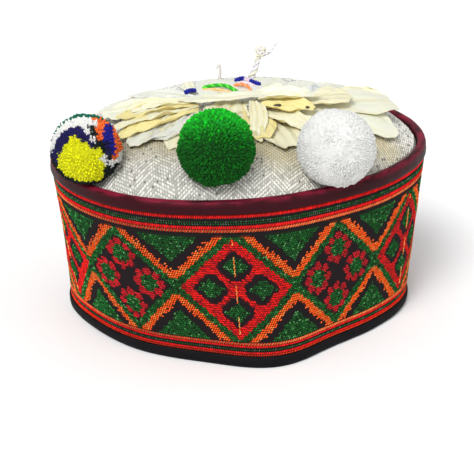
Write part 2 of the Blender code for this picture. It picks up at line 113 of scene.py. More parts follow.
@dataclass
class CapForm:
    """The shape that all pieces follow: the band's plan, the walls' lean and the crown's dome."""

    height: float = 0.0965
    rows: tuple[Triple, ...] = (
        (0, 0.1042, 0.0867), (30, 0.0974, 0.0830), (60, 0.0996, 0.0866),
        (90, 0.1057, 0.0957), (120, 0.1081, 0.0977), (150, 0.1075, 0.0957),
        (180, 0.1042, 0.0937), (210, 0.0977, 0.0927), (240, 0.0942, 0.0927),
        (270, 0.0997, 0.0933), (300, 0.1092, 0.0876), (330, 0.1118, 0.0885),
    )
    crease: Triple = (13.2, 0.0123, 18.0)
    pinch: tuple[float, float] = (0.0014, 0.0100)
    edge_offset: float = -0.0041
    dome: Triple = (0.0195, 0.0225, 4.5)
    swells: tuple[tuple[float, float, float, float], ...] = (
        (262, 0.86, 0.024, 0.0050),
        (150, 0.70, 0.030, 0.0010),
        (330, 0.62, 0.018, -0.0014),
        (20, 0.70, 0.016, -0.0012),
        (75, 0.80, 0.020, 0.0010),
    )
    offset: Vector = field(default_factory=lambda: Vector((0.0, 0.0, 0.0)))

    def __post_init__(self) -> None:
        """Works out the plan's tables and the place of the cap in the frame."""
        self.azimuths = np.linspace(0.0, 2 * math.pi, 1441)
        self.top_table = self._smooth(1)
        foot = self._smooth(2)
        away = (np.degrees(self.azimuths) - self.crease[0] + 180) % 360 - 180
        self.foot_table = foot + self.crease[1] * np.exp(-((away / self.crease[2]) ** 2))
        ring = self.wall(self.azimuths, self.height / 2)
        steps = np.linalg.norm(np.diff(ring, axis=0), axis=1)
        self.arcs = np.concatenate(([0.0], np.cumsum(steps)))
        self.girth = float(self.arcs[-1])

    def _smooth(self, column: int) -> np.ndarray:
        """The closed smooth curve through one column of the plan's rows.

        Args:
            column: 1 for the top radius, 2 for the foot radius.

        Returns:
            The radius at each azimuth of the table.
        """
        values = np.array([row[column] for row in self.rows])
        count = len(values)
        place = (np.degrees(self.azimuths) % 360) / (360 / count)
        low = place.astype(int)
        t = place - low
        before, here, there, beyond = (values[(low + k) % count] for k in (-1, 0, 1, 2))
        return 0.5 * (
            2 * here
            + (there - before) * t
            + (2 * before - 5 * here + 4 * there - beyond) * t**2
            + (3 * here - before - 3 * there + beyond) * t**3
        )

    def wall_radius(self, azimuth: np.ndarray, height: np.ndarray) -> np.ndarray:
        """The radius of the band's outer face.

        Args:
            azimuth: Azimuths in radians.
            height: Heights over the floor.

        Returns:
            The radii.
        """
        turn = np.mod(azimuth, 2 * math.pi)
        top = np.interp(turn, self.azimuths, self.top_table)
        foot = np.interp(turn, self.azimuths, self.foot_table)
        share = np.clip(np.asarray(height) / self.height, 0.0, 1.0)
        pinched = np.clip((height - self.height + self.pinch[1]) / self.pinch[1], 0.0, 1.0)
        return foot * (1 - share) + top * share - self.pinch[0] * pinched

    def wall(self, azimuth: np.ndarray, height: np.ndarray, proud: np.ndarray = 0.0) -> np.ndarray:
        """Points on, or proud of, the band's outer face.

        Args:
            azimuth: Azimuths in radians.
            height: Heights over the floor.
            proud: How far out of the face each point lies.

        Returns:
            An array of points.
        """
        azimuth, height = np.broadcast_arrays(azimuth, height)
        radius = self.wall_radius(azimuth, height) + proud
        x = radius * np.sin(azimuth) + self.offset.x
        y = -radius * np.cos(azimuth) + self.offset.y
        return np.stack([x, y, height + self.offset.z], axis=-1)

    def azimuth_at(self, arc: np.ndarray) -> np.ndarray:
        """The azimuth at a distance round the band's middle, from the front."""
        return np.interp(np.mod(arc, self.girth), self.arcs, self.azimuths)

    def edge_radius(self, azimuth: np.ndarray) -> np.ndarray:
        """The radius at which the crown meets its wall."""
        return self.wall_radius(azimuth, self.height) + self.edge_offset

    def crown(self, x: np.ndarray, y: np.ndarray) -> np.ndarray:
        """The height of the tweed over a place inside the band.

        Args:
            x: Places along X in the frame.
            y: Places along Y in the frame.

        Returns:
            The heights.
        """
        px, py = np.asarray(x) - self.offset.x, np.asarray(y) - self.offset.y
        azimuth = np.arctan2(px, -py)
        share = np.minimum(np.hypot(px, py) / self.edge_radius(azimuth), 1.0)
        rise = self.dome[0] - self.dome[1] * share ** self.dome[2]
        total = np.zeros_like(share)
        for degrees, reach, spread, height in self.swells:
            angle = math.radians(degrees)
            radius = reach * float(self.edge_radius(np.array(angle)))
            cx, cy = radius * math.sin(angle), -radius * math.cos(angle)
            total = total + height * np.exp(-((px - cx) ** 2 + (py - cy) ** 2) / spread**2)
        return self.height + rise + total * (1 - share**6)

    def on_crown(self, x: float, y: float, rise: float = 0.0) -> Vector:
        """A point in the frame, from a place off the cap's own middle and a rise over the tweed."""
        wx, wy = x + self.offset.x, y + self.offset.y
        return Vector((wx, wy, float(self.crown(np.array(wx), np.array(wy))) + rise))

    def settle(self, node: str) -> None:
        """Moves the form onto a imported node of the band.

        Args:
            node: The node's name.
        """
        low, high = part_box(node)
        ring = self.wall(self.azimuths, self.height - 0.0016)
        middle = (ring.min(axis=0) + ring.max(axis=0)) / 2
        self.offset.x += (low[0] + high[0]) / 2 - float(middle[0])
        self.offset.y += (low[1] + high[1]) / 2 - float(middle[1])


# Shader groups and finishes


def _socket(
    group: bpy.types.NodeTree, name: str, way: str, kind: str, value: float | tuple[float, ...] | None = None
) -> bpy.types.NodeTreeInterfaceSocket:
    """A named socket on a node group's interface.

    Args:
        group: The node group.
        name: The socket's name.
        way: INPUT or OUTPUT.
        kind: What follows NodeSocket in its type.
        value: The default, if it has one.

    Returns:
        The interface socket.
    """
    made = group.interface.new_socket(name=name, in_out=way, socket_type="NodeSocket" + kind)
    if value is not None:
        made.default_value = value
    return made


@dataclass
class Wiring:
    """Adds nodes to a tree and links them, so that materials read in one line a node."""

    tree: bpy.types.NodeTree

    def node(self, kind: str, settings: dict | None = None, **inputs: Value | Paint) -> bpy.types.Node:
        """A node with its settings and inputs.

        Args:
            kind: The node's type.
            settings: Values for the node's own properties.
            **inputs: Values or sockets by input name, with _ for a space.

        Returns:
            The node.
        """
        made = self.tree.nodes.new(kind)
        for name, value in (settings or {}).items():
            setattr(made, name, value)
        for name, value in inputs.items():
            key = int(name[1:]) if name[1:].isdigit() else name.replace("_", " ")
            target = made.inputs[key]
            if isinstance(value, Socket):
                self.tree.links.new(value, target)
            else:
                target.default_value = value
        return made

    def maths(self, operation: str, a: Value, b: Value = 0.0, clamp: bool = False) -> Socket:
        """The result of a Math node: an operation on two values, kept from 0 to 1 if clamp is set."""
        made = self.node("ShaderNodeMath", {"operation": operation, "use_clamp": clamp}, i0=a, i1=b)
        return made.outputs[0]

    def blend(self, share: Value, a: Paint, b: Paint, mode: str = "MIX") -> Socket:
        """The colour between two colours.

        Args:
            share: How much of the second.
            a: The first colour or socket.
            b: The second colour or socket.
            mode: The blend mode.

        Returns:
            The colour's socket.
        """
        made = self.tree.nodes.new("ShaderNodeMix")
        made.data_type = "RGBA"
        made.blend_type = mode
        for index, value in ((0, share), (6, a), (7, b)):
            if isinstance(value, Socket):
                self.tree.links.new(value, made.inputs[index])
            else:
                made.inputs[index].default_value = value
        return made.outputs[2]

    def ramp(self, value: Socket, low: float, high: float) -> Socket:
        """A value spread from 0 at low to 1 at high."""
        made = self.node("ShaderNodeMapRange", None, Value=value, From_Min=low, From_Max=high)
        return made.outputs[0]

    def attribute(self, name: str, output: str) -> Socket:
        """An output of the piece's own attribute."""
        return self.node("ShaderNodeAttribute", {"attribute_name": name}).outputs[output]

    def relief(self, shader: bpy.types.Node, height: Socket, distance: float) -> None:
        """Raises a shader's surface by a height, over a distance in metres."""
        bump = self.node("ShaderNodeBump", None, Height=height, Distance=distance)
        self.tree.links.new(bump.outputs[0], shader.inputs["Normal"])


def rgba(colour: Colour) -> tuple[float, float, float, float]:
    """A colour with full alpha."""
    return (colour[0], colour[1], colour[2], 1.0)


def settle(shader: bpy.types.Node, **values: float | tuple[float, ...]) -> None:
    """Sets a shader's own sockets, with _ for a space in their names."""
    for name, value in values.items():
        shader.inputs[name.replace("_", " ")].default_value = value


def wool_group() -> bpy.types.NodeTree:
    """The group for spun wool: uneven tone, fine fibres and their height.

    Returns:
        The node group.
    """
    group = bpy.data.node_groups.get("spun_wool")
    if group:
        return group
    group = bpy.data.node_groups.new("spun_wool", "ShaderNodeTree")
    _socket(group, "Tone", "INPUT", "Color", (0.5, 0.5, 0.5, 1.0))
    _socket(group, "Fibre Scale", "INPUT", "Float", 2600.0)
    _socket(group, "Unevenness", "INPUT", "Float", 0.35)
    _socket(group, "Colour", "OUTPUT", "Color")
    _socket(group, "Height", "OUTPUT", "Float")
    wires = Wiring(group)
    source = group.nodes.new("NodeGroupInput")
    place = wires.node("ShaderNodeTexCoord").outputs["Object"]
    fibres = wires.node("ShaderNodeTexNoise", None, Vector=place, Scale=source.outputs[1], Detail=3.0)
    broad = wires.node("ShaderNodeTexNoise", None, Vector=place, Scale=160.0, Detail=2.0)
    both = wires.maths("ADD", fibres.outputs[0], broad.outputs[0])
    swing = wires.maths("MULTIPLY", wires.maths("SUBTRACT", both, 1.0), source.outputs[2])
    gain = wires.maths("ADD", swing, 1.0)
    grey = wires.node("ShaderNodeCombineColor", None, Red=gain, Green=gain, Blue=gain)
    tone = wires.blend(1.0, source.outputs[0], grey.outputs[0], "MULTIPLY")
    sink = group.nodes.new("NodeGroupOutput")
    group.links.new(tone, sink.inputs[0])
    group.links.new(fibres.outputs[0], sink.inputs[1])
    return group


def weave_group() -> bpy.types.NodeTree:
    """The group for plain cloth: crossing threads on the piece's own UV map, in metres.

    Returns:
        The node group.
    """
    group = bpy.data.node_groups.get("plain_weave")
    if group:
        return group
    group = bpy.data.node_groups.new("plain_weave", "ShaderNodeTree")
    _socket(group, "Threads per Metre", "INPUT", "Float", 1200.0)
    _socket(group, "Threads", "OUTPUT", "Float")
    wires = Wiring(group)
    source = group.nodes.new("NodeGroupInput")
    place = wires.node("ShaderNodeUVMap", {"uv_map": "cloth"}).outputs[0]
    split = wires.node("ShaderNodeSeparateXYZ", None, Vector=place)
    turns = wires.maths("MULTIPLY", source.outputs[0], 2 * math.pi)
    waves = [
        wires.maths("SINE", wires.maths("MULTIPLY", split.outputs[axis], turns)) for axis in (0, 1)
    ]
    crossed = wires.maths("MULTIPLY", waves[0], waves[1])
    sink = group.nodes.new("NodeGroupOutput")
    group.links.new(wires.ramp(crossed, -1.0, 1.0), sink.inputs[0])
    return group


def crease_group() -> bpy.types.NodeTree:
    """The group for fine creases and grain on tape and petals.

    Returns:
        The node group.
    """
    group = bpy.data.node_groups.get("fine_creases")
    if group:
        return group
    group = bpy.data.node_groups.new("fine_creases", "ShaderNodeTree")
    _socket(group, "Scale", "INPUT", "Float", 400.0)
    _socket(group, "Stretch", "INPUT", "Vector", (1.0, 1.0, 1.0))
    _socket(group, "Lines", "OUTPUT", "Float")
    _socket(group, "Clouds", "OUTPUT", "Float")
    wires = Wiring(group)
    source = group.nodes.new("NodeGroupInput")
    place = wires.node("ShaderNodeUVMap", {"uv_map": "cloth"}).outputs[0]
    drawn = wires.node("ShaderNodeVectorMath", {"operation": "MULTIPLY"}, i0=place, i1=source.outputs[1])
    lines = wires.node(
        "ShaderNodeTexNoise",
        {"noise_type": "RIDGED_MULTIFRACTAL"},
        Vector=drawn.outputs[0],
        Scale=source.outputs[0],
        Detail=5.0,
    )
    clouds = wires.node(
        "ShaderNodeTexNoise", None, Vector=drawn.outputs[0], Scale=source.outputs[0], Detail=3.0
    )
    sink = group.nodes.new("NodeGroupOutput")
    group.links.new(wires.ramp(lines.outputs[0], 0.0, 1.6), sink.inputs[0])
    group.links.new(clouds.outputs[0], sink.inputs[1])
    return group


def _start(name: str) -> tuple[Material, Wiring, bpy.types.Node]:
    """A new material with its wiring and its Principled shader.

    Args:
        name: The material's name.

    Returns:
        The material, its wiring and the shader node.
    """
    material = bpy.data.materials.new(name)
    material.use_nodes = True
    wires = Wiring(material.node_tree)
    return material, wires, material.node_tree.nodes["Principled BSDF"]


@dataclass(frozen=True)
class YarnFinish:
    """Spun yarn whose colour comes from each piece's own tint attribute."""

    name: str
    roughness: float = 0.85
    specular: float = 0.2
    soak: float = 0.0
    fibre_scale: float = 2600.0
    unevenness: float = 0.45
    relief: float = 0.00012

    def build(self) -> Material:
        """The yarn material.

        Returns:
            The material.
        """
        material, wires, shader = _start(self.name)
        wool = wires.node("ShaderNodeGroup", {"node_tree": wool_group()})
        wires.tree.links.new(wires.attribute("tint", "Color"), wool.inputs["Tone"])
        wool.inputs["Fibre Scale"].default_value = self.fibre_scale
        wool.inputs["Unevenness"].default_value = self.unevenness
        wires.tree.links.new(wool.outputs["Colour"], shader.inputs["Base Color"])
        wires.relief(shader, wool.outputs["Height"], self.relief)
        settle(shader, Roughness=self.roughness, Specular_IOR_Level=self.specular)
        if self.soak:
            settle(shader, Subsurface_Weight=self.soak, Subsurface_Radius=(0.004, 0.004, 0.0035))
            settle(shader, Subsurface_Scale=0.6)
        return material


@dataclass(frozen=True)
class ClothFinish:
    """Plain woven cloth or a cloth ground, from one colour or the tint attribute."""

    name: str
    colour: Colour | None
    threads: float = 1200.0
    roughness: float = 0.9
    relief: float = 0.00025
    shade: float = 0.45

    def build(self) -> Material:
        """The cloth material.

        Returns:
            The material.
        """
        material, wires, shader = _start(self.name)
        weave = wires.node("ShaderNodeGroup", {"node_tree": weave_group()})
        weave.inputs[0].default_value = self.threads
        wool = wires.node("ShaderNodeGroup", {"node_tree": wool_group()})
        if self.colour is None:
            wires.tree.links.new(wires.attribute("tint", "Color"), wool.inputs["Tone"])
        else:
            wool.inputs["Tone"].default_value = rgba(self.colour)
        # Painted shade: the colour darkens towards black between the woven threads.
        dark = wires.blend(self.shade, wool.outputs["Colour"], (0.0, 0.0, 0.0, 1.0))
        shown = wires.blend(weave.outputs[0], dark, wool.outputs["Colour"])
        wires.tree.links.new(shown, shader.inputs["Base Color"])
        rise = wires.maths("ADD", weave.outputs[0], wires.maths("MULTIPLY", wool.outputs["Height"], 0.5))
        wires.relief(shader, rise, self.relief)
        settle(shader, Roughness=self.roughness, Specular_IOR_Level=0.15)
        return material


@dataclass(frozen=True)
class TapeFinish:
    """Coated or woven tape with fine creases, painted shade along them, and a patchy painted highlight near
    its upper edge.
    """

    name: str
    colour: Colour
    highlight_tone: Colour
    roughness: float
    coat: float
    specular: float = 0.3
    relief: float = 0.0002
    scale: float = 260.0

    def build(self) -> Material:
        """The tape material.

        Returns:
            The material.
        """
        material, wires, shader = _start(self.name)
        crease = wires.node("ShaderNodeGroup", {"node_tree": crease_group()})
        crease.inputs["Scale"].default_value = self.scale
        crease.inputs["Stretch"].default_value = (0.35, 1.0, 1.0)
        # Painted highlight: the tape takes its second, lighter colour in patches near its upper edge.
        wear = wires.attribute("wear", "Fac")
        patch = wires.maths("MULTIPLY", wear, wires.ramp(crease.outputs["Clouds"], 0.35, 0.62), clamp=True)
        tone = wires.blend(patch, rgba(self.colour), rgba(self.highlight_tone))
        # Painted shade along the fine creases.
        shown = wires.blend(wires.maths("MULTIPLY", crease.outputs["Lines"], 0.35), tone, (0, 0, 0, 1))
        wires.tree.links.new(shown, shader.inputs["Base Color"])
        cloudy = wires.maths("MULTIPLY", crease.outputs["Clouds"], 0.25)
        rough = wires.maths("ADD", cloudy, self.roughness - 0.12)
        wires.tree.links.new(rough, shader.inputs["Roughness"])
        wires.relief(shader, crease.outputs["Lines"], self.relief)
        settle(shader, Coat_Weight=self.coat, Coat_Roughness=0.25, Specular_IOR_Level=self.specular)
        return material


@dataclass(frozen=True)
class PetalFinish:
    """Dry papery petal: cream, with a darker yellow along its folds and near its root that is partly its own
    tint and partly painted shade, thin enough to let some light by.
    """

    name: str
    fold: Colour = (0.58, 0.46, 0.09)
    vein: Colour = (0.62, 0.56, 0.30)

    def build(self) -> Material:
        """The petal material.

        Returns:
            The material.
        """
        material, wires, shader = _start(self.name)
        crease = wires.node("ShaderNodeGroup", {"node_tree": crease_group()})
        crease.inputs["Scale"].default_value = 170.0
        crease.inputs["Stretch"].default_value = (0.14, 1.8, 1.0)
        # Fold tint and painted shade: a darker yellow along the folds and near the root.
        fold = wires.attribute("fold", "Fac")
        deep = wires.maths("MULTIPLY", fold, wires.ramp(crease.outputs["Clouds"], 0.30, 0.60), clamp=True)
        tone = wires.blend(deep, wires.attribute("tint", "Color"), rgba(self.fold))
        veins = wires.maths("MULTIPLY", crease.outputs["Lines"], 0.42)
        shown = wires.blend(veins, tone, rgba(self.vein))
        wires.tree.links.new(shown, shader.inputs["Base Color"])
        wires.relief(shader, crease.outputs["Lines"], 0.0009)
        settle(shader, Roughness=0.48, Subsurface_Weight=0.45)
        settle(shader, Subsurface_Radius=(0.004, 0.003, 0.0015), Subsurface_Scale=0.3)
        return material


@dataclass(frozen=True)
class StageFinish:
    """The pale plain floor."""

    name: str = "pale_floor"

    def build(self) -> Material:
        """The floor material.

        Returns:
            The material.
        """
        material, _, shader = _start(self.name)
        settle(shader, Base_Color=(0.96, 0.96, 0.96, 1.0), Roughness=0.9)
        return material


# Meshes


def surface(name: str, points: np.ndarray, uv: np.ndarray, round_x: bool, round_y: bool) -> Mesh:
    """A mesh of quads over a grid of points.

    Args:
        name: The mesh's name.
        points: Points as rows by columns by 3.
        uv: Map places as rows by columns by 2, one row and column more where the grid closes.
        round_x: True where the last column joins the first.
        round_y: True where the last row joins the first.

    Returns:
        The mesh, with its map named cloth.
    """
    rows, columns = points.shape[:2]
    quads = []
    maps = []
    for j in range(rows if round_y else rows - 1):
        for i in range(columns if round_x else columns - 1):
            j2, i2 = (j + 1) % rows, (i + 1) % columns
            quads.append((j * columns + i, j * columns + i2, j2 * columns + i2, j2 * columns + i))
            maps += [uv[j, i], uv[j, i + 1], uv[j + 1, i + 1], uv[j + 1, i]]
    mesh = bpy.data.meshes.new(name)
    mesh.from_pydata(points.reshape(-1, 3).tolist(), [], quads)
    layer = mesh.uv_layers.new(name="cloth")
    layer.data.foreach_set("uv", np.array(maps, dtype=np.float32).reshape(-1))
    mesh.shade_smooth()
    mesh.update()
    return mesh


def finished(bm: bmesh.types.BMesh, name: str) -> Mesh:
    """A smooth mesh from a bmesh, which is freed.

    Args:
        bm: The bmesh.
        name: The mesh's name.

    Returns:
        The mesh.
    """
    mesh = bpy.data.meshes.new(name)
    bm.to_mesh(mesh)
    bm.free()
    mesh.shade_smooth()
    return mesh


def colour_points(mesh: Mesh, name: str, values: np.ndarray) -> None:
    """Stores a colour for each point of a mesh.

    Args:
        mesh: The mesh.
        name: The attribute's name.
        values: A row of red, green and blue for each point.
    """
    layer = mesh.attributes.new(name, "FLOAT_COLOR", "POINT")
    full = np.ones((len(mesh.vertices), 4), dtype=np.float32)
    full[:, :3] = values
    layer.data.foreach_set("color", full.reshape(-1))


def mark_points(mesh: Mesh, name: str, values: np.ndarray) -> None:
    """Stores a number for each point of a mesh, under an attribute's name."""
    layer = mesh.attributes.new(name, "FLOAT", "POINT")
    layer.data.foreach_set("value", np.asarray(values, dtype=np.float32))


def put(mesh: Mesh, name: str, finish: Material) -> Piece:
    """An object in the scene for a mesh.

    Args:
        mesh: The mesh, already in place.
        name: The object's name.
        finish: Its material.

    Returns:
        The object.
    """
    mesh.name = name
    mesh.materials.clear()
    mesh.materials.append(finish)
    made = bpy.data.objects.new(name, mesh)
    bpy.context.scene.collection.objects.link(made)
    return made


def bake(piece: Piece) -> None:
    """Turns a piece's modifiers into its own mesh.

    Args:
        piece: The piece.
    """
    bpy.context.view_layer.update()
    graph = bpy.context.evaluated_depsgraph_get()
    mesh = bpy.data.meshes.new_from_object(piece.evaluated_get(graph))
    mesh.name = piece.data.name
    piece.modifiers.clear()
    piece.data = mesh


def dress(piece: Piece, nodes: tuple[str, ...]) -> None:
    """Hands a finished piece to the frame.

    Args:
        piece: The finished piece.
        nodes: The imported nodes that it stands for.
    """
    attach(piece, BODY)
    if nodes:
        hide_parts(*nodes)
    LOG.info("%s: %d faces", piece.name, len(piece.data.polygons))


# Repeats: one unit on each of many points


def grain_unit(name: str, sides: int = 3, shoulder: float = 0.62) -> Piece:
    """A stitch: a grain one unit long, wide and high, pointed at both ends.

    Args:
        name: The unit's name.
        sides: Sides of its section.
        shoulder: Where its two full sections stand, as a share of half its length.

    Returns:
        A hidden object for the repeats.
    """
    bm = bmesh.new()
    ends = [bm.verts.new((s * 0.5, 0.0, 0.0)) for s in (-1, 1)]
    rings = []
    for s in (-1, 1):
        ring = []
        for k in range(sides):
            angle = math.pi / 2 + 2 * math.pi * k / sides
            ring.append(bm.verts.new((s * 0.5 * shoulder, 0.5 * math.cos(angle), 0.5 * math.sin(angle))))
        rings.append(ring)
    for k in range(sides):
        n = (k + 1) % sides
        bm.faces.new((ends[0], rings[0][n], rings[0][k]))
        bm.faces.new((rings[0][k], rings[0][n], rings[1][n], rings[1][k]))
        bm.faces.new((ends[1], rings[1][k], rings[1][n]))
    bmesh.ops.recalc_face_normals(bm, faces=bm.faces[:])
    return _unit(bm, name)


def tuft_unit(name: str) -> Piece:
    """A cut yarn end: a short stem that swells to a blunt tip, standing along Z from its root.

    Args:
        name: The unit's name.

    Returns:
        A hidden object for the repeats.
    """
    bm = bmesh.new()
    sections = ((0.0, 0.34), (0.86, 0.50), (1.0, 0.24))
    rings = []
    for height, radius in sections:
        rings.append(
            [
                bm.verts.new((radius * math.cos(math.pi * k / 2), radius * math.sin(math.pi * k / 2), height))
                for k in range(4)
            ]
        )
    for low, high in zip(rings, rings[1:]):
        for k in range(4):
            n = (k + 1) % 4
            bm.faces.new((low[k], low[n], high[n], high[k]))
    bm.faces.new(rings[-1])
    bm.faces.new(list(reversed(rings[0])))
    bmesh.ops.recalc_face_normals(bm, faces=bm.faces[:])
    return _unit(bm, name)


def _unit(bm: bmesh.types.BMesh, name: str) -> Piece:
    """A hidden object for a repeat's unit, from a bmesh, which is freed."""
    return bpy.data.objects.new(name, finished(bm, name))


@dataclass
class Scatter:
    """Points with a turn, a stretch and a tint each, on which a node tree sets one unit."""

    name: str
    unit: Piece
    finish: Material
    seed: int = 1
    jitter: float = 0.0
    places: list[Vector] = field(default_factory=list)
    turns: list[Triple] = field(default_factory=list)
    stretches: list[Triple] = field(default_factory=list)
    tints: list[Colour] = field(default_factory=list)

    def add(self, place: Vector, axes: Matrix, stretch: Triple, tint: Colour) -> None:
        """One more unit.

        Args:
            place: Where it stands.
            axes: Its axes as the columns of a 3 by 3 matrix.
            stretch: Its length, width and height.
            tint: Its colour.
        """
        self.places.append(place)
        self.turns.append(tuple(axes.to_euler()))
        self.stretches.append(stretch)
        self.tints.append(tint)

    def tree(self) -> tuple[bpy.types.NodeTree, dict[str, str]]:
        """The node tree of the repeat.

        Returns:
            The tree, and the identifier of each named input.
        """
        tree = bpy.data.node_groups.new(self.name + "_repeat", "GeometryNodeTree")
        _socket(tree, "Geometry", "INPUT", "Geometry")
        named = {
            "Unit": _socket(tree, "Unit", "INPUT", "Object"),
            "Finish": _socket(tree, "Finish", "INPUT", "Material"),
            "Unevenness": _socket(tree, "Unevenness", "INPUT", "Float", 0.1),
            "Seed": _socket(tree, "Seed", "INPUT", "Int", 1),
        }
        _socket(tree, "Geometry", "OUTPUT", "Geometry")
        wires = Wiring(tree)
        source = tree.nodes.new("NodeGroupInput")
        unit = wires.node("GeometryNodeObjectInfo", None, Object=source.outputs["Unit"])
        turn = wires.node("GeometryNodeInputNamedAttribute", {"data_type": "FLOAT_VECTOR"}, Name="turn")
        rotation = wires.node("FunctionNodeEulerToRotation", None, Euler=turn.outputs["Attribute"])
        stretch = wires.node("GeometryNodeInputNamedAttribute", {"data_type": "FLOAT_VECTOR"}, Name="stretch")
        chance = wires.node("FunctionNodeRandomValue", {"data_type": "FLOAT"}, Seed=source.outputs["Seed"])
        loss = wires.maths("MULTIPLY", chance.outputs[1], source.outputs["Unevenness"])
        gain = wires.maths("SUBTRACT", 1.0, loss)
        size = wires.node("ShaderNodeVectorMath", {"operation": "SCALE"}, i0=stretch.outputs["Attribute"])
        tree.links.new(gain, size.inputs["Scale"])
        points, shape = source.outputs["Geometry"], unit.outputs["Geometry"]
        turned = {"Rotation": rotation.outputs[0], "Scale": size.outputs[0]}
        copies = wires.node("GeometryNodeInstanceOnPoints", None, Points=points, Instance=shape, **turned)
        real = wires.node("GeometryNodeRealizeInstances", None, Geometry=copies.outputs[0])
        done = wires.node(
            "GeometryNodeSetMaterial", None, Geometry=real.outputs[0], Material=source.outputs["Finish"]
        )
        sink = tree.nodes.new("NodeGroupOutput")
        tree.links.new(done.outputs[0], sink.inputs[0])
        return tree, {name: made.identifier for name, made in named.items()}

    def build(self) -> Piece:
        """The piece with all its units as one plain mesh.

        Returns:
            The piece.
        """
        mesh = bpy.data.meshes.new(self.name)
        mesh.from_pydata([tuple(p) for p in self.places], [], [])
        for label, values in (("turn", self.turns), ("stretch", self.stretches)):
            layer = mesh.attributes.new(label, "FLOAT_VECTOR", "POINT")
            layer.data.foreach_set("vector", np.array(values, dtype=np.float32).reshape(-1))
        colour_points(mesh, "tint", np.array(self.tints))
        piece = put(mesh, self.name, self.finish)
        tree, inputs = self.tree()
        modifier = piece.modifiers.new("repeat", "NODES")
        modifier.node_group = tree
        modifier[inputs["Unit"]] = self.unit
        modifier[inputs["Finish"]] = self.finish
        modifier[inputs["Unevenness"]] = self.jitter
        modifier[inputs["Seed"]] = self.seed
        bake(piece)
        for label in ("turn", "stretch"):
            layer = piece.data.attributes.get(label)
            if layer:
                piece.data.attributes.remove(layer)
        return piece


def axes_of(along: Vector, out: Vector, slant: float = 0.0) -> Matrix:
    """Axes for a unit that lies on a surface.

    Args:
        along: The surface's direction for a slant of 0.
        out: The surface's outward direction.
        slant: Turn on the surface, in radians.

    Returns:
        A matrix whose columns are the unit's length, width and height.
    """
    out = out.normalized()
    along = (along - out * along.dot(out)).normalized()
    side = out.cross(along)
    x = along * math.cos(slant) + side * math.sin(slant)
    y = out.cross(x)
    return Matrix((x, y, out)).transposed()


def vary(colour: Colour, spread: float, rng: random.Random, lift: float = 0.0) -> Colour:
    """A colour made lighter or darker by chance within a spread, with white mixed in by lift."""
    gain = 1.0 + rng.uniform(-spread, spread)
    return tuple(min(1.0, c * gain * (1 - lift) + lift) for c in colour)


# The woven band


@dataclass
class WovenChart:
    """The band's pattern: lozenges, four flowers in each, and zigzags above and below."""

    girth: float
    low: float = 0.0150
    high: float = 0.0761
    repeats: int = 5
    columns: int = 96
    rows: int = 48
    lean: float = -0.0075
    red_line: float = 1.055
    dark_line: float = 0.945
    line_half: float = 0.078
    zigzag: Triple = (0.100, 0.245, 0.500)
    blunt: float = 0.16
    frame: float = 0.770
    cell_reach: float = 0.0137
    cell_size: float = 0.0118
    cell_blunt: float = 0.0090
    flower_reach: tuple[float, float] = (0.0140, 0.0151)
    flower_ring: float = 0.0071
    flower_blob: float = 0.0023
    flower_heart: float = 0.0055
    line_runs: tuple[tuple[float, float], ...] = (
        (0.0262, 0.0292),
        (0.0083, 0.0193),
        (-0.0083, 0.0031),
        (-0.0260, -0.0150),
    )

    def __post_init__(self) -> None:
        """Works out the lozenge's half sizes."""
        self.period = self.girth / self.repeats
        self.half_width = self.period / 4
        self.middle = (self.low + self.high) / 2
        self.half_height = (self.high - self.low) / 2

    def shift(self, height: float) -> float:
        """How far the pattern leans along the band at a height."""
        return self.lean * (height / 0.0965 - 0.49)

    def cell(self, arc: float, height: float, tooth: float = 0.0) -> Yarn:
        """The yarn at a place on the band.

        Args:
            arc: The distance round the band, from the front's lozenge.
            height: The height over the floor.
            tooth: How far the zigzag's inner edge juts here, which makes it ragged.

        Returns:
            The yarn.
        """
        x = (arc + self.period / 2) % self.period - self.period / 2
        y = height - self.middle
        across, tall = abs(x) / self.half_width, abs(y) / self.half_height
        red = across + tall - self.red_line
        dark = 2 - across + tall - self.dark_line
        if red < -self.line_half:
            return self._red_lozenge(x, y, across + tall, tooth)
        if dark < -self.line_half:
            return self._dark_lozenge(x - math.copysign(2 * self.half_width, x), y)
        out = min(red, dark)
        begin, end, inside = self.zigzag
        if out < begin or tall < self.blunt:
            return Yarn.GREEN
        if out < end + tooth:
            return Yarn.ORANGE
        return Yarn.GROUND if out < inside - 0.4 * tooth else Yarn.GREEN

    def _red_lozenge(self, x: float, y: float, share: float, tooth: float) -> Yarn:
        """The yarn inside a red lozenge: a frame, a cross and four notched flowers.

        Args:
            x: The place along the band from the lozenge's middle.
            y: The height over its middle.
            share: How far out the place is, 1 at the lozenge's edge.
            tooth: How far a ragged edge juts here.

        Returns:
            The yarn.
        """
        if share > self.frame:
            return Yarn.RED
        side = abs(x) > abs(y)
        d, e = (abs(abs(x) - self.cell_reach), abs(y)) if side else (abs(x), abs(abs(y) - self.cell_reach))
        if d + e > self.cell_size or max(d, e) > self.cell_blunt:
            return Yarn.RED
        edge = 0.0054 + 0.014 * tooth
        return Yarn.GREEN if 0.80 * d + e < edge and d < 0.0076 else Yarn.GROUND

    def _dark_lozenge(self, x: float, y: float) -> Yarn:
        """The yarn inside a dark lozenge: four flowers, each a ring of red spots round a green heart.

        Args:
            x: The place along the band from the lozenge's middle.
            y: The height over its middle.

        Returns:
            The yarn.
        """
        side = abs(x) > abs(y)
        wide, tall = self.flower_reach
        d, e = (abs(x) - wide, y) if side else (x, abs(y) - tall)
        step = round(math.atan2(e, d) / (math.pi / 4)) * math.pi / 4
        away = math.hypot(d - self.flower_ring * math.cos(step), e - self.flower_ring * math.sin(step))
        if away < self.flower_blob:
            return Yarn.ROSE
        return Yarn.GREEN if math.hypot(d, e) < self.flower_heart else Yarn.GROUND


class Stripe(Enum):
    """The kinds of line that edge the pattern."""

    SOLID = "solid"
    HATCH = "hatch"
    DOTS = "dots"


@dataclass(frozen=True)
class StripeRow:
    """One line of stitches round the band."""

    kind: Stripe
    height: float
    yarn: Yarn
    second: Yarn
    length: float
    width: float
    slant_deg: float
    pitch: float


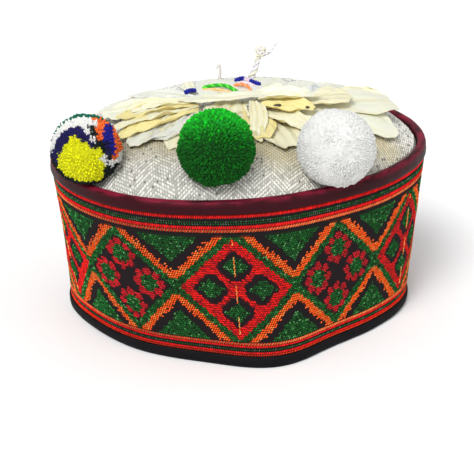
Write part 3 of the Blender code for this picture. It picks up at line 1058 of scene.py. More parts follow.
@dataclass
class WovenBand:
    """The stiff band: its ground cloth, the pattern's stitches, the edging lines and the back seam."""

    form: CapForm
    thickness: float = 0.0024
    bottom: float = 0.0016
    stripes: tuple[StripeRow, ...] = (
        StripeRow(Stripe.HATCH, 0.0893, Yarn.RED, Yarn.ORANGE, 0.0012, 0.00080, 66, 0.00100),
        StripeRow(Stripe.SOLID, 0.0879, Yarn.RED, Yarn.RED, 0.0025, 0.00105, 70, 0.00105),
        StripeRow(Stripe.DOTS, 0.0850, Yarn.GREEN, Yarn.GREEN, 0.0013, 0.00060, 55, 0.00125),
        StripeRow(Stripe.DOTS, 0.0837, Yarn.GREEN, Yarn.GREEN, 0.0013, 0.00060, -55, 0.00125),
        StripeRow(Stripe.SOLID, 0.0816, Yarn.RED, Yarn.RED, 0.0025, 0.00105, 70, 0.00105),
        StripeRow(Stripe.HATCH, 0.0796, Yarn.RED, Yarn.YELLOW, 0.0024, 0.00062, 56, 0.00078),
        StripeRow(Stripe.HATCH, 0.0137, Yarn.RED, Yarn.YELLOW, 0.0022, 0.00062, 56, 0.00078),
        StripeRow(Stripe.SOLID, 0.0122, Yarn.RED, Yarn.RED, 0.0015, 0.00100, 66, 0.00105),
        StripeRow(Stripe.DOTS, 0.0103, Yarn.GREEN, Yarn.GREEN, 0.0012, 0.00060, 50, 0.00125),
        StripeRow(Stripe.SOLID, 0.0085, Yarn.RED, Yarn.RED, 0.0016, 0.00100, 66, 0.00105),
        StripeRow(Stripe.HATCH, 0.0072, Yarn.RED, Yarn.ORANGE, 0.0013, 0.00075, 66, 0.00095),
    )
    seam_azimuth_deg: float = 180.0

    def __post_init__(self) -> None:
        """Makes the chart for this band."""
        self.chart = WovenChart(self.form.girth)

    def ground(self) -> Piece:
        """The ground cloth, a closed ring with a darker copy of the pattern in it: painted shade in the gaps
        between the stitches.

        Returns:
            The piece.
        """
        form, chart = self.form, self.chart
        count = chart.columns * chart.repeats
        arcs = np.arange(count + 1) / count * form.girth
        azimuths = form.azimuth_at(arcs[:-1])
        field_rows = np.linspace(chart.low, chart.high, chart.rows + 1)
        outer = np.concatenate(
            [
                np.linspace(self.bottom, chart.low, 9)[:-1],
                field_rows,
                np.linspace(chart.high, form.height - self.bottom, 14)[1:],
            ]
        )
        inner = np.linspace(form.height - self.bottom, self.bottom, 6)
        heights = np.concatenate([outer, inner])
        prouds = np.concatenate([np.zeros(len(outer)), np.full(len(inner), -self.thickness)])
        grid = form.wall(azimuths[None, :], heights[:, None], prouds[:, None])
        run = np.concatenate([heights, [heights[0]]])
        uv = np.stack(np.broadcast_arrays(arcs[None, :], run[:, None]), axis=-1)
        mesh = surface("band_cloth", grid, uv, True, True)
        tints = np.zeros((len(heights), count, 3))
        # Painted shade: under a coloured cell the ground shows a dark copy of its yarn, for the shade in the
        # gaps between stitches.
        dark = {yarn: np.array(yarn.value) * 0.16 + np.array(Yarn.GROUND.value) * 0.6 for yarn in Yarn}
        dark[Yarn.GROUND] = np.array(Yarn.GROUND.value)
        for j, height in enumerate(heights):
            inside = chart.low <= height <= chart.high and prouds[j] == 0.0
            for i in range(count):
                yarn = chart.cell(arcs[i] - chart.shift(height), height) if inside else Yarn.GROUND
                tints[j, i] = dark[yarn]
        colour_points(mesh, "tint", tints.reshape(-1, 3))
        return put(mesh, "band_cloth", ClothFinish("band_ground", None, 800.0, 0.95, 0.0003).build())

    def _axes(self, azimuth: float, height: float, slant: float) -> tuple[Vector, Matrix]:
        """The place and axes of a stitch on the band's outer face.

        Args:
            azimuth: Its azimuth.
            height: Its height.
            slant: Its turn on the face, in radians.

        Returns:
            The place and the axes.
        """
        small = 0.004
        spots = self.form.wall(
            np.array([azimuth, azimuth + small, azimuth]), np.array([height, height, height + 0.001])
        )
        place = Vector(spots[0])
        along = (Vector(spots[1]) - place).normalized()
        up = (Vector(spots[2]) - place).normalized()
        return place, axes_of(along, along.cross(up), slant)

    def pattern(self, unit: Piece, finish: Material) -> list[Piece]:
        """The pattern's stitches, one for each cell of the chart that has coloured yarn.

        Args:
            unit: The stitch.
            finish: The yarn's material.

        Returns:
            The green stitches, and the red and orange ones.
        """
        chart, rng = self.chart, random.Random(11)
        green = Scatter("band_green_stitches", unit, finish, seed=3, jitter=0.18)
        warm = Scatter("band_red_stitches", unit, finish, seed=4, jitter=0.12)
        count = chart.columns * chart.repeats
        pitch = self.form.girth / count
        tall = (chart.high - chart.low) / chart.rows
        for j in range(chart.rows):
            height = chart.low + (j + 0.5) * tall
            for i in range(count):
                arc = (i + 0.5 * (j % 2)) * pitch
                tooth = 0.070 if (i // 2 + j // 3) % 2 else 0.0
                near = arc + rng.uniform(-0.3, 0.3) * pitch
                yarn = chart.cell(near, height + rng.uniform(-0.3, 0.3) * tall, tooth)
                if yarn is Yarn.GROUND or (yarn is Yarn.GREEN and rng.random() < 0.06):
                    continue
                azimuth = float(self.form.azimuth_at(arc + chart.shift(height)))
                slant, size, tint = self._stitch(yarn, i, j, rng)
                place, axes = self._axes(azimuth, height + rng.uniform(-0.1, 0.1) * tall, slant)
                kind = green if yarn is Yarn.GREEN else warm
                kind.add(place + axes.col[2] * 0.00012, axes, size, tint)
        self._centre_lines(warm, rng)
        return [green.build(), warm.build()]

    def _stitch(
        self, yarn: Yarn, column: int, row: int, rng: random.Random
    ) -> tuple[float, Triple, Colour]:
        """The slant, size and colour of one stitch.

        Args:
            yarn: The yarn.
            column: The stitch's column.
            row: The stitch's row.
            rng: The source of chance.

        Returns:
            The slant in radians, the size and the colour.
        """
        if yarn is Yarn.GREEN:
            slant = math.radians(46 if (row + column // 4) % 2 else -42) + rng.uniform(-0.2, 0.2)
            size = (0.00150, 0.00078, 0.00060)
            tone = rng.random()
            # Painted highlights: about three green stitches in ten take one of the two light greens.
            if tone < 0.20:
                return slant, size, vary(Shade.LIT_GREEN.value, 0.25, rng)
            if tone < 0.30:
                return slant, size, vary(Shade.WORN_GREEN.value, 0.25, rng)
            return slant, size, vary(yarn.value, 0.45, rng)
        if yarn is Yarn.ORANGE:
            size = (0.00150, 0.00108, 0.00090)
            # Painted highlight: about a quarter of the orange stitches take the lit orange.
            tint = Shade.LIT_ORANGE.value if rng.random() < 0.24 else yarn.value
            return math.radians(42 + rng.uniform(-12, 12)), size, vary(tint, 0.15, rng)
        size = (0.00160, 0.00112, 0.00062)
        tint = Shade.DEEP_RED.value if rng.random() < 0.22 else yarn.value
        return math.radians(-32 + rng.uniform(-10, 10)), size, vary(tint, 0.25, rng)

    def _centre_lines(self, scatter: Scatter, rng: random.Random) -> None:
        """Adds the thin yellow dashes that run up the middle of each red lozenge.

        Args:
            scatter: The stitches that they join.
            rng: The source of chance.
        """
        chart = self.chart
        for repeat in range(chart.repeats):
            for k in range(48):
                y = (k / 47 - 0.5) * 2 * chart.half_height
                if not any(low < y < high for low, high in chart.line_runs):
                    continue
                height = chart.middle + y
                azimuth = float(self.form.azimuth_at(repeat * chart.period + chart.shift(height)))
                place, axes = self._axes(azimuth, height, math.radians(90 + (28 if k % 2 else -28)))
                tint = vary(Yarn.YELLOW.value if k % 3 else Yarn.ORANGE.value, 0.25, rng)
                scatter.add(place + axes.col[2] * 0.0005, axes, (0.0016, 0.00075, 0.0007), tint)

    def edging(self, unit: Piece, finish: Material) -> Piece:
        """The lines of stitches above and below the pattern.

        Args:
            unit: The stitch.
            finish: Its material.

        Returns:
            The piece.
        """
        rng = random.Random(23)
        scatter = Scatter("band_edging", unit, finish, seed=5, jitter=0.15)
        for row in self.stripes:
            count = int(self.form.girth / row.pitch)
            for i in range(count):
                azimuth = float(self.form.azimuth_at(i * self.form.girth / count))
                place, axes = self._axes(azimuth, row.height, math.radians(row.slant_deg))
                thin = row.kind is Stripe.HATCH and i % 2
                yarn = row.second if thin else row.yarn
                lift = 0.09 if row.kind is Stripe.DOTS and rng.random() < 0.3 else 0.0
                width = row.width * (0.62 if thin else 1.1)
                tint = vary(yarn.value, 0.25, rng, lift)
                scatter.add(place + axes.col[2] * 0.0001, axes, (row.length, width, 0.0008), tint)
        return scatter.build()

    def seam(self, unit: Piece, finish: Material) -> Piece:
        """The plain whipped seam where the band's ends meet at the back.

        Args:
            unit: The stitch.
            finish: Its material.

        Returns:
            The piece.
        """
        rng = random.Random(31)
        scatter = Scatter("band_back_seam", unit, finish, seed=7, jitter=0.1)
        for k in range(52):
            height = 0.0075 + k * 0.00158
            place, axes = self._axes(math.radians(self.seam_azimuth_deg), height, math.radians(18))
            tint = vary(Shade.SEAM.value, 0.4, rng)
            scatter.add(place + axes.col[2] * 0.0007, axes, (0.0044, 0.0011, 0.0008), tint)
        return scatter.build()

    def build(self) -> None:
        """Makes and dresses the band."""
        unit = grain_unit("stitch_unit")
        yarn = YarnFinish("band_yarn", roughness=0.8, specular=0.18, unevenness=0.40).build()
        dress(self.ground(), ("band",))
        for stitches in self.pattern(unit, yarn):
            dress(stitches, ())
        dress(self.edging(unit, yarn), ())
        dress(self.seam(unit, yarn), ())


# The two tapes


@dataclass
class Tape:
    """A tape folded over an edge of the band, as a closed section swept round the plan."""

    form: CapForm
    name: str
    node: str
    slot: str
    section: tuple[Triple, ...]
    finish: TapeFinish
    ripple: float
    seed: float
    steps: int = 400
    highlight_depth: float = 0.0026

    def wear(self) -> list[float]:
        """How strongly each line of the section takes the painted highlight: most at the upper edge."""
        top = max(height for _, height, _ in self.section)
        return [max(0.0, 1 - (top - height) / self.highlight_depth) for _, height, _ in self.section]

    def build(self) -> None:
        """Makes and dresses the tape."""
        azimuths = np.linspace(0, 2 * math.pi, self.steps, endpoint=False)
        rows = []
        for proud, height, _ in self.section:
            rows.append(self.form.wall(azimuths, np.full_like(azimuths, height), proud))
        grid = np.array(rows)
        for j in range(len(self.section)):
            loose = self.section[j][2]
            for i in range(self.steps):
                a = azimuths[i]
                wave = noise.noise(Vector((math.cos(a) * 9 + self.seed, math.sin(a) * 9, j * 0.12)))
                fine = noise.noise(Vector((math.cos(a) * 34 + self.seed, math.sin(a) * 34, j * 0.5)))
                push = self.ripple * loose * (wave + 0.45 * fine)
                out = Vector((math.sin(a), -math.cos(a), 0.0))
                grid[j, i, 0] += out.x * push
                grid[j, i, 1] += out.y * push
        lengths = [0.0]
        ring = list(self.section) + [self.section[0]]
        for a, b in zip(ring, ring[1:]):
            lengths.append(lengths[-1] + math.hypot(a[0] - b[0], a[1] - b[1]))
        along = np.linspace(0, self.form.girth, self.steps + 1)
        uv = np.stack(np.broadcast_arrays(along[None, :], np.array(lengths)[:, None]), axis=-1)
        mesh = surface(self.name, grid, uv, True, True)
        mark_points(mesh, "wear", np.repeat(self.wear(), self.steps))
        piece = put(mesh, self.name, self.finish.build())
        bm = bmesh.new()
        bm.from_mesh(piece.data)
        bmesh.ops.recalc_face_normals(bm, faces=bm.faces[:])
        bm.to_mesh(piece.data)
        bm.free()
        dress(piece, (self.node,))


def top_section(height: float) -> tuple[Triple, ...]:
    """The closed section of the tape on the band's top edge.

    Args:
        height: The band's height.

    Returns:
        How far proud, the height and the looseness of each corner.
    """
    h = height
    return (
        (0.00045, h - 0.0071, 0.2), (0.00125, h - 0.0072, 0.6), (0.00150, h - 0.0066, 0.8),
        (0.00150, h - 0.0050, 1.0), (0.00142, h - 0.0034, 1.0), (0.00138, h - 0.0020, 0.9),
        (0.00110, h - 0.0010, 0.8), (0.00055, h - 0.0003, 0.7), (-0.00040, h + 0.0000, 0.6),
        (-0.00160, h + 0.0001, 0.6), (-0.00260, h - 0.0002, 0.6), (-0.00325, h - 0.0008, 0.6),
        (-0.00360, h - 0.0018, 0.5), (-0.00360, h - 0.0040, 0.3), (-0.00355, h - 0.0060, 0.2),
        (-0.00280, h - 0.0060, 0.1), (-0.00275, h - 0.0014, 0.1), (-0.00200, h - 0.0010, 0.1),
        (-0.00020, h - 0.0010, 0.1), (0.00035, h - 0.0016, 0.1), (0.00040, h - 0.0040, 0.1),
    )


def foot_section() -> tuple[Triple, ...]:
    """The closed section of the tape round the foot.

    Returns:
        How far proud, the height and the looseness of each corner.
    """
    return (
        (0.00040, 0.0064, 0.1), (0.00085, 0.0067, 0.4), (0.00130, 0.0062, 0.8),
        (0.00160, 0.0048, 1.0), (0.00165, 0.0032, 1.0), (0.00145, 0.0016, 0.8),
        (0.00085, 0.0005, 0.3), (0.00010, 0.0000, 0.0), (-0.00180, 0.0000, 0.0),
        (-0.00360, 0.0000, 0.0), (-0.00530, 0.0000, 0.0), (-0.00600, 0.0005, 0.2),
        (-0.00640, 0.0014, 0.3), (-0.00640, 0.0040, 0.3), (-0.00640, 0.0066, 0.3),
        (-0.00560, 0.0066, 0.1), (-0.00555, 0.0014, 0.0), (-0.00300, 0.0010, 0.0),
        (-0.00020, 0.0010, 0.0), (0.00030, 0.0020, 0.0),
    )


# The crown


@dataclass
class TweedCrown:
    """The tweed crown: its cloth shell and the herringbone floats that lie on it."""

    form: CapForm
    thickness: float = 0.0020
    steps: int = 240
    column: float = 0.0100
    pitch: float = 0.0027
    step: float = 0.00125
    float_size: Triple = (0.0027, 0.00142, 0.00080)
    fleck_share: float = 0.030
    # Places and reaches where the floats turn yellower: partly stain, partly painted shade under the petals.
    stains_and_shade: tuple[Triple, ...] = (
        (-0.0540, -0.0520, 0.0150),
        (-0.0300, -0.0600, 0.0140),
        (0.0250, -0.0640, 0.0150),
        (0.0060, -0.0600, 0.0120),
        (0.0780, -0.0320, 0.0150),
    )

    def __post_init__(self) -> None:
        """Tabulates the run along the crown from its middle against the share of its radius."""
        self.shares = np.linspace(0.0, 1.0, 400)
        radius = float(np.mean(self.form.edge_radius(self.form.azimuths)))
        rise = self.form.dome[0] - self.form.dome[1] * self.shares ** self.form.dome[2]
        steps = np.hypot(np.diff(self.shares * radius), np.diff(rise))
        self.runs = np.concatenate(([0.0], np.cumsum(steps)))

    def share_of(self, run: float) -> float:
        """The share of the radius at a run from the middle."""
        return float(np.interp(run, self.runs, self.shares))

    def shell(self) -> Piece:
        """The cloth shell: top, shoulder, wall, and their inner side.

        Returns:
            The piece.
        """
        form = self.form
        azimuths = np.linspace(0, 2 * math.pi, self.steps, endpoint=False)
        edge = form.edge_radius(azimuths)
        runs = np.linspace(0.0, self.runs[-1], 34)[1:]
        rows, lengths = [], []
        for run in runs:
            radius = self.share_of(run) * edge
            x = radius * np.sin(azimuths) + form.offset.x
            y = -radius * np.cos(azimuths) + form.offset.y
            rows.append(np.stack([x, y, form.crown(x, y)], axis=-1))
            lengths.append(run)
        lower = [(-0.0031, height) for height in (0.0765, 0.0540, 0.0320, 0.0140, 0.0018)]
        wall = [(-0.0041, 0.0865), *lower]
        for course, inward in ((wall, 0.0), (wall[::-1], self.thickness)):
            for proud, height in course:
                rows.append(form.wall(azimuths, np.full_like(azimuths, height), proud - inward))
                lengths.append(lengths[-1] + 0.016)
        for run in runs[::-1]:
            share = self.share_of(run)
            radius = share * (edge - self.thickness * share)
            x = radius * np.sin(azimuths) + form.offset.x
            y = -radius * np.cos(azimuths) + form.offset.y
            drop = self.thickness * (1.0 + 0.6 * share**8)
            rows.append(np.stack([x, y, form.crown(x, y) - drop], axis=-1))
            lengths.append(lengths[-1] + 0.003)
        grid = np.array(rows)
        angle = np.linspace(0, 2 * math.pi, self.steps + 1)
        length = np.array(lengths)[:, None]
        uv = np.stack([length * np.sin(angle)[None, :], -length * np.cos(angle)[None, :]], axis=-1)
        flat = np.arange(len(rows)) >= len(runs)
        uv[flat, :, 0] = np.broadcast_to(angle[None, :] * 0.1, (flat.sum(), self.steps + 1))
        uv[flat, :, 1] = np.broadcast_to(length[flat], (flat.sum(), self.steps + 1))
        mesh = surface("crown_cloth", grid, uv, True, False)
        bm = bmesh.new()
        bm.from_mesh(mesh)
        bmesh.ops.holes_fill(bm, edges=[e for e in bm.edges if e.is_boundary], sides=0)
        caps = [f for f in bm.faces if len(f.verts) > 4]
        bmesh.ops.poke(bm, faces=caps)
        bmesh.ops.recalc_face_normals(bm, faces=bm.faces[:])
        bm.to_mesh(mesh)
        bm.free()
        mesh.shade_smooth()
        # Painted shade: the ground cloth is darker than the floats, so the gaps between them read as shade.
        finish = ClothFinish("tweed_ground", Shade.TWEED_GROUND.value, 700.0, 0.95, 0.0003, 0.2)
        return put(mesh, "crown_cloth", finish.build())

    def weave(self) -> Piece:
        """The herringbone: short floats that slant one way and the other in turn, column by column.

        Returns:
            The piece.
        """
        form, rng = self.form, random.Random(41)
        unit = grain_unit("float_unit", sides=4, shoulder=0.55)
        finish = YarnFinish("tweed_yarn", roughness=0.9, specular=0.15, unevenness=0.25).build()
        scatter = Scatter("crown_tweed", unit, finish, seed=9, jitter=0.12)
        reach = float(self.runs[-1]) * 0.985
        across = int(reach / self.step) + 1
        down = int((reach + self.column) / self.pitch) + 1
        for i in range(-across, across + 1):
            u = i * self.step
            wave = (u / self.column) % 2
            rise = self.column * abs(wave - 1)
            way = 1 if wave < 1 else -1
            for j in range(-down, down + 1):
                v = j * self.pitch + rise
                run = math.hypot(u, v)
                if run > reach:
                    continue
                angle = math.atan2(u, -v)
                radius = self.share_of(run) * float(form.edge_radius(np.array(angle)))
                x, y = radius * math.sin(angle), -radius * math.cos(angle)
                spot = form.on_crown(x, y)
                dx = form.on_crown(x + 0.0004, y) - form.on_crown(x - 0.0004, y)
                dy = form.on_crown(x, y + 0.0004) - form.on_crown(x, y - 0.0004)
                out = dx.cross(dy).normalized()
                axes = axes_of(dy, out, way * 0.30 + rng.uniform(-0.22, 0.22))
                length, width, height = self.float_size
                fleck = rng.random() < self.fleck_share
                cut = 0.55 if fleck else 1.0
                size = (length * cut * rng.uniform(0.82, 1.12), width * cut * rng.uniform(0.8, 1.1), height)
                tint = self._float_tint(x, y, j % 2 == 0, rng)
                if fleck:
                    tint = vary(Shade.TWEED_FLECK.value, 0.3, rng)
                scatter.add(spot + out * 0.00005, axes, size, tint)
        return scatter.build()

    def _float_tint(self, x: float, y: float, grey: bool, rng: random.Random) -> Colour:
        """The colour of one float: white or grey, yellower near the petals, partly as stain and partly as
        painted shade.

        Args:
            x: Its place along X from the cap's own middle.
            y: Its place along Y from the cap's own middle.
            grey: True on a rib that is mostly grey.
            rng: The source of chance.

        Returns:
            The colour.
        """
        dull = rng.random() < (0.46 if grey else 0.10)
        base = Shade.TWEED_GREY.value if dull else Shade.TWEED_WHITE.value
        stain_and_shade = sum(math.exp(-((x - cx) ** 2 + (y - cy) ** 2) / r**2) for cx, cy, r in self.stains_and_shade)
        share = min(0.80, 0.80 * stain_and_shade)
        mixed = tuple(b * (1 - share) + w * share for b, w in zip(base, Shade.TWEED_STAIN.value))
        return vary(mixed, 0.10, rng)

    def build(self) -> None:
        """Makes and dresses the crown."""
        dress(self.shell(), ("crown",))
        dress(self.weave(), ())


# Pompoms


@dataclass(frozen=True)
class ColourSpot:
    """A patch of one yarn on a pompom, by the direction in which it faces."""

    yarn: Yarn
    right: float
    up: float
    near: float


def facing(yarn: Yarn, *places: tuple[float, float]) -> tuple[ColourSpot, ...]:
    """Spots of one yarn on the side that faces the front, from places to the right and up."""
    return tuple(ColourSpot(yarn, x, y, math.sqrt(max(0.0, 1.0 - x * x - y * y))) for x, y in places)


MIXED_SPOTS: tuple[ColourSpot, ...] = (
    *facing(Yarn.LEMON, (-0.30, 0.22), (-0.20, 0.06), (-0.44, -0.06), (-0.64, -0.32), (0.02, 0.02)),
    *facing(Yarn.LEMON, (0.22, -0.10), (0.44, -0.10), (-0.30, -0.30), (0.10, -0.36), (0.46, -0.46)),
    *facing(Yarn.LEMON, (-0.50, -0.58), (-0.15, -0.78), (0.20, -0.80), (0.42, -0.72), (-0.60, -0.48)),
    *facing(Yarn.NAVY, (-0.88, -0.16), (-0.74, 0.08), (-0.56, 0.30), (-0.32, 0.46), (-0.06, 0.42)),
    *facing(Yarn.NAVY, (0.08, 0.32), (0.22, 0.16), (0.62, 0.08), (0.70, -0.10)),
    *facing(Yarn.WHITE, (-0.93, 0.16), (-0.82, 0.46), (-0.58, 0.68)),
    *facing(Yarn.WHITE, (-0.28, 0.78), (0.02, 0.76), (0.18, 0.74)),
    *facing(Yarn.WHITE, (0.12, 0.50), (0.28, 0.24), (0.62, -0.30), (0.78, -0.42), (0.94, -0.24)),
    *facing(Yarn.PINE, (-0.86, 0.50), (-0.62, 0.78), (-0.32, 0.94), (0.02, 0.99), (0.24, 0.94)),
    # The black spots are black yarn; those on the lower rim also stand for painted shadow there.
    *facing(Yarn.BLACK, (0.20, 0.60), (0.30, 0.44), (0.46, 0.14), (0.72, -0.26), (0.66, -0.58)),
    *facing(Yarn.BLACK, (0.84, -0.50), (0.66, -0.74), (0.10, -0.98), (-0.30, -0.94), (0.55, 0.02)),
    *facing(Yarn.BLACK, (0.36, 0.12), (-0.88, -0.44), (-0.72, -0.68)),
    *facing(Yarn.CORAL, (0.40, 0.82), (0.50, 0.70), (0.42, 0.54), (0.40, 0.28), (0.90, 0.28), (0.94, 0.08)),
    *facing(Yarn.CORAL, (0.88, -0.16)),
    *facing(Yarn.BLUE, (0.64, 0.58), (0.74, 0.40), (0.62, 0.32), (0.78, 0.16), (0.82, -0.02)),
    ColourSpot(Yarn.PINE, -0.60, 0.55, -0.55),
    ColourSpot(Yarn.WHITE, 0.20, 0.75, -0.60),
    ColourSpot(Yarn.NAVY, 0.65, 0.30, -0.70),
    ColourSpot(Yarn.CORAL, 0.00, 0.20, -1.00),
    ColourSpot(Yarn.LEMON, -0.70, -0.30, -0.60),
    ColourSpot(Yarn.BLACK, 0.50, -0.50, -0.70),
    ColourSpot(Yarn.WHITE, -0.35, 0.05, -0.95),
)


@dataclass
class Pompom:
    """A ball of cut yarn ends round a core, flattened where it rests on the cap."""

    form: CapForm
    name: str
    node: str
    slot: str
    centre: Triple
    radius: float
    spots: tuple[ColourSpot, ...]
    seed: int
    view: tuple[Vector, Vector, Vector]
    # Painted shade: the low and high share of a tuft's colour, darker low down and in front.
    painted_shade_gains: tuple[float, float] = (0.85, 1.0)
    # Painted shade in the gaps: the share of its yarn's colour that the core takes.
    core_shade: float = 0.5
    speck_share: float = 0.0
    core_size: float = 0.90
    soak: float = 0.0
    count: int = 4300
    tuft_width: float = 0.00140
    tuft_length: float = 0.0080
    shag: float = 1.0

    def middle(self) -> Vector:
        """The centre in the frame."""
        return Vector(self.centre) + self.form.offset

    def floor(self, point: Vector) -> float:
        """The height that the ball may not pass below at a place."""
        return max(float(self.form.crown(np.array(point.x), np.array(point.y))), self.form.height) + 0.0008

    def yarn_at(self, direction: Vector, rng: random.Random) -> Yarn:
        """The yarn that shows in a direction.

        Args:
            direction: From the centre outwards.
            rng: The source of chance, which roughens the borders.

        Returns:
            The yarn.
        """
        right, up, near = (direction.dot(axis) for axis in self.view)
        wander = Vector((rng.gauss(0, 0.03), rng.gauss(0, 0.03), 0.0))
        here = Vector((right, up, near)) + wander
        return min(self.spots, key=lambda s: (here - Vector((s.right, s.up, s.near))).length).yarn

    def gain(self, direction: Vector, rng: random.Random) -> float:
        """How light the yarn is painted in a direction: painted shade low down and in front, painted light on
        top and towards the back.

        Args:
            direction: From the centre outwards.
            rng: The source of chance.

        Returns:
            The share of its own colour.
        """
        low, high = self.painted_shade_gains
        # Painted light: lighter on top and towards the back, darker low down and in front.
        lit_side = 0.80 * direction.z + 0.40 * direction.y + 0.14
        share = min(1.0, max(0.0, (lit_side + rng.gauss(0, 0.08)) / 0.92))
        speck = 1.8 if rng.random() < self.speck_share else 1.0
        return (low + (high - low) * share * share * (3 - 2 * share)) * speck

    def tufts(self, finish: Material) -> Piece:
        """The yarn ends.

        Args:
            finish: Their material.

        Returns:
            The piece.
        """
        rng = random.Random(self.seed)
        scatter = Scatter(self.name, tuft_unit(self.name + "_unit"), finish, seed=self.seed, jitter=0.10)
        centre = self.middle()
        golden = math.pi * (3 - math.sqrt(5))
        for k in range(self.count):
            z = 1 - 2 * (k + 0.5) / self.count
            ring = math.sqrt(1 - z * z)
            direction = Vector((ring * math.cos(golden * k), ring * math.sin(golden * k), z))
            direction = (direction + Vector([rng.gauss(0, 0.022) for _ in range(3)])).normalized()
            lump = noise.noise(direction * 2.2 + Vector((self.seed, 0, 0)))
            reach = self.radius * (0.975 + 0.035 * lump + self.shag * rng.uniform(-0.026, 0.022))
            tip = centre + direction * reach
            low = self.floor(tip)
            if tip.z < low:
                tip.z = low + rng.uniform(0.0, 0.0004)
            lean = (tip - centre).normalized()
            yarn = self.yarn_at(direction, rng)
            spread = 0.30 if yarn is not Yarn.WHITE else 0.07
            width = self.tuft_width * rng.uniform(0.88, 1.12)
            length = min(self.tuft_length, (tip - centre).length * 0.6)
            root = tip - lean * length
            side = lean.orthogonal().normalized()
            turn = Matrix.Rotation(rng.uniform(0, 2 * math.pi), 3, lean) @ Matrix(
                (side, lean.cross(side), lean)
            ).transposed()
            tone = tuple(c * self.gain(direction, rng) for c in yarn.value)
            scatter.add(root, turn, (width, width, length), vary(tone, spread, rng))
        return scatter.build()

    def core(self, finish: Material) -> Piece:
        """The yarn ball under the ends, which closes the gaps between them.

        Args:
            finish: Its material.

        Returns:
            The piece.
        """
        rng = random.Random(self.seed + 1)
        centre = self.middle()
        bm = bmesh.new()
        bmesh.ops.create_icosphere(bm, subdivisions=5, radius=self.radius * self.core_size)
        tints = []
        for vertex in bm.verts:
            direction = vertex.co.normalized()
            place = centre + vertex.co * (1 + 0.03 * noise.noise(direction * 9))
            place.z = max(place.z, self.floor(place) + 0.0003)
            vertex.co = place
            # Painted shade in the gaps between the ends: the core takes only a share of its yarn's colour,
            # times the same painted shade as the ends.
            share = self.core_shade * self.gain(direction, rng)
            tints.append([c * share for c in self.yarn_at(direction, rng).value])
        mesh = finished(bm, self.name + "_core")
        colour_points(mesh, "tint", np.array(tints))
        return put(mesh, self.name + "_core", finish)

    def build(self) -> None:
        """Makes and dresses the pompom."""
        finish = YarnFinish(
            self.name + "_yarn", roughness=0.88, soak=self.soak, fibre_scale=1800, unevenness=0.25
        ).build()
        dress(self.tufts(finish), (self.node,))
        dress(self.core(finish), ())


# Petals


class PetalTone(Enum):
    """The shades of dry petal, and a near-black for small dark sheets that are painted shadow where gaps
    between the petals show dark.
    """

    CREAM = (0.80, 0.75, 0.53)
    PALE = (0.80, 0.79, 0.63)
    STRAW = (0.81, 0.69, 0.31)
    SILVER = (0.67, 0.67, 0.58)
    HUSK = (0.80, 0.80, 0.69)
    SEED = (0.020, 0.015, 0.022)


@dataclass(frozen=True)
class Petal:
    """One petal from its root to its tip, in metres from the cap's own middle."""

    root: tuple[float, float]
    tip: tuple[float, float]
    width: float
    rise: float
    cup: float
    tone: PetalTone
    pleats: float = 2.0
    crumple: float = 1.0
    start: float = 0.0014


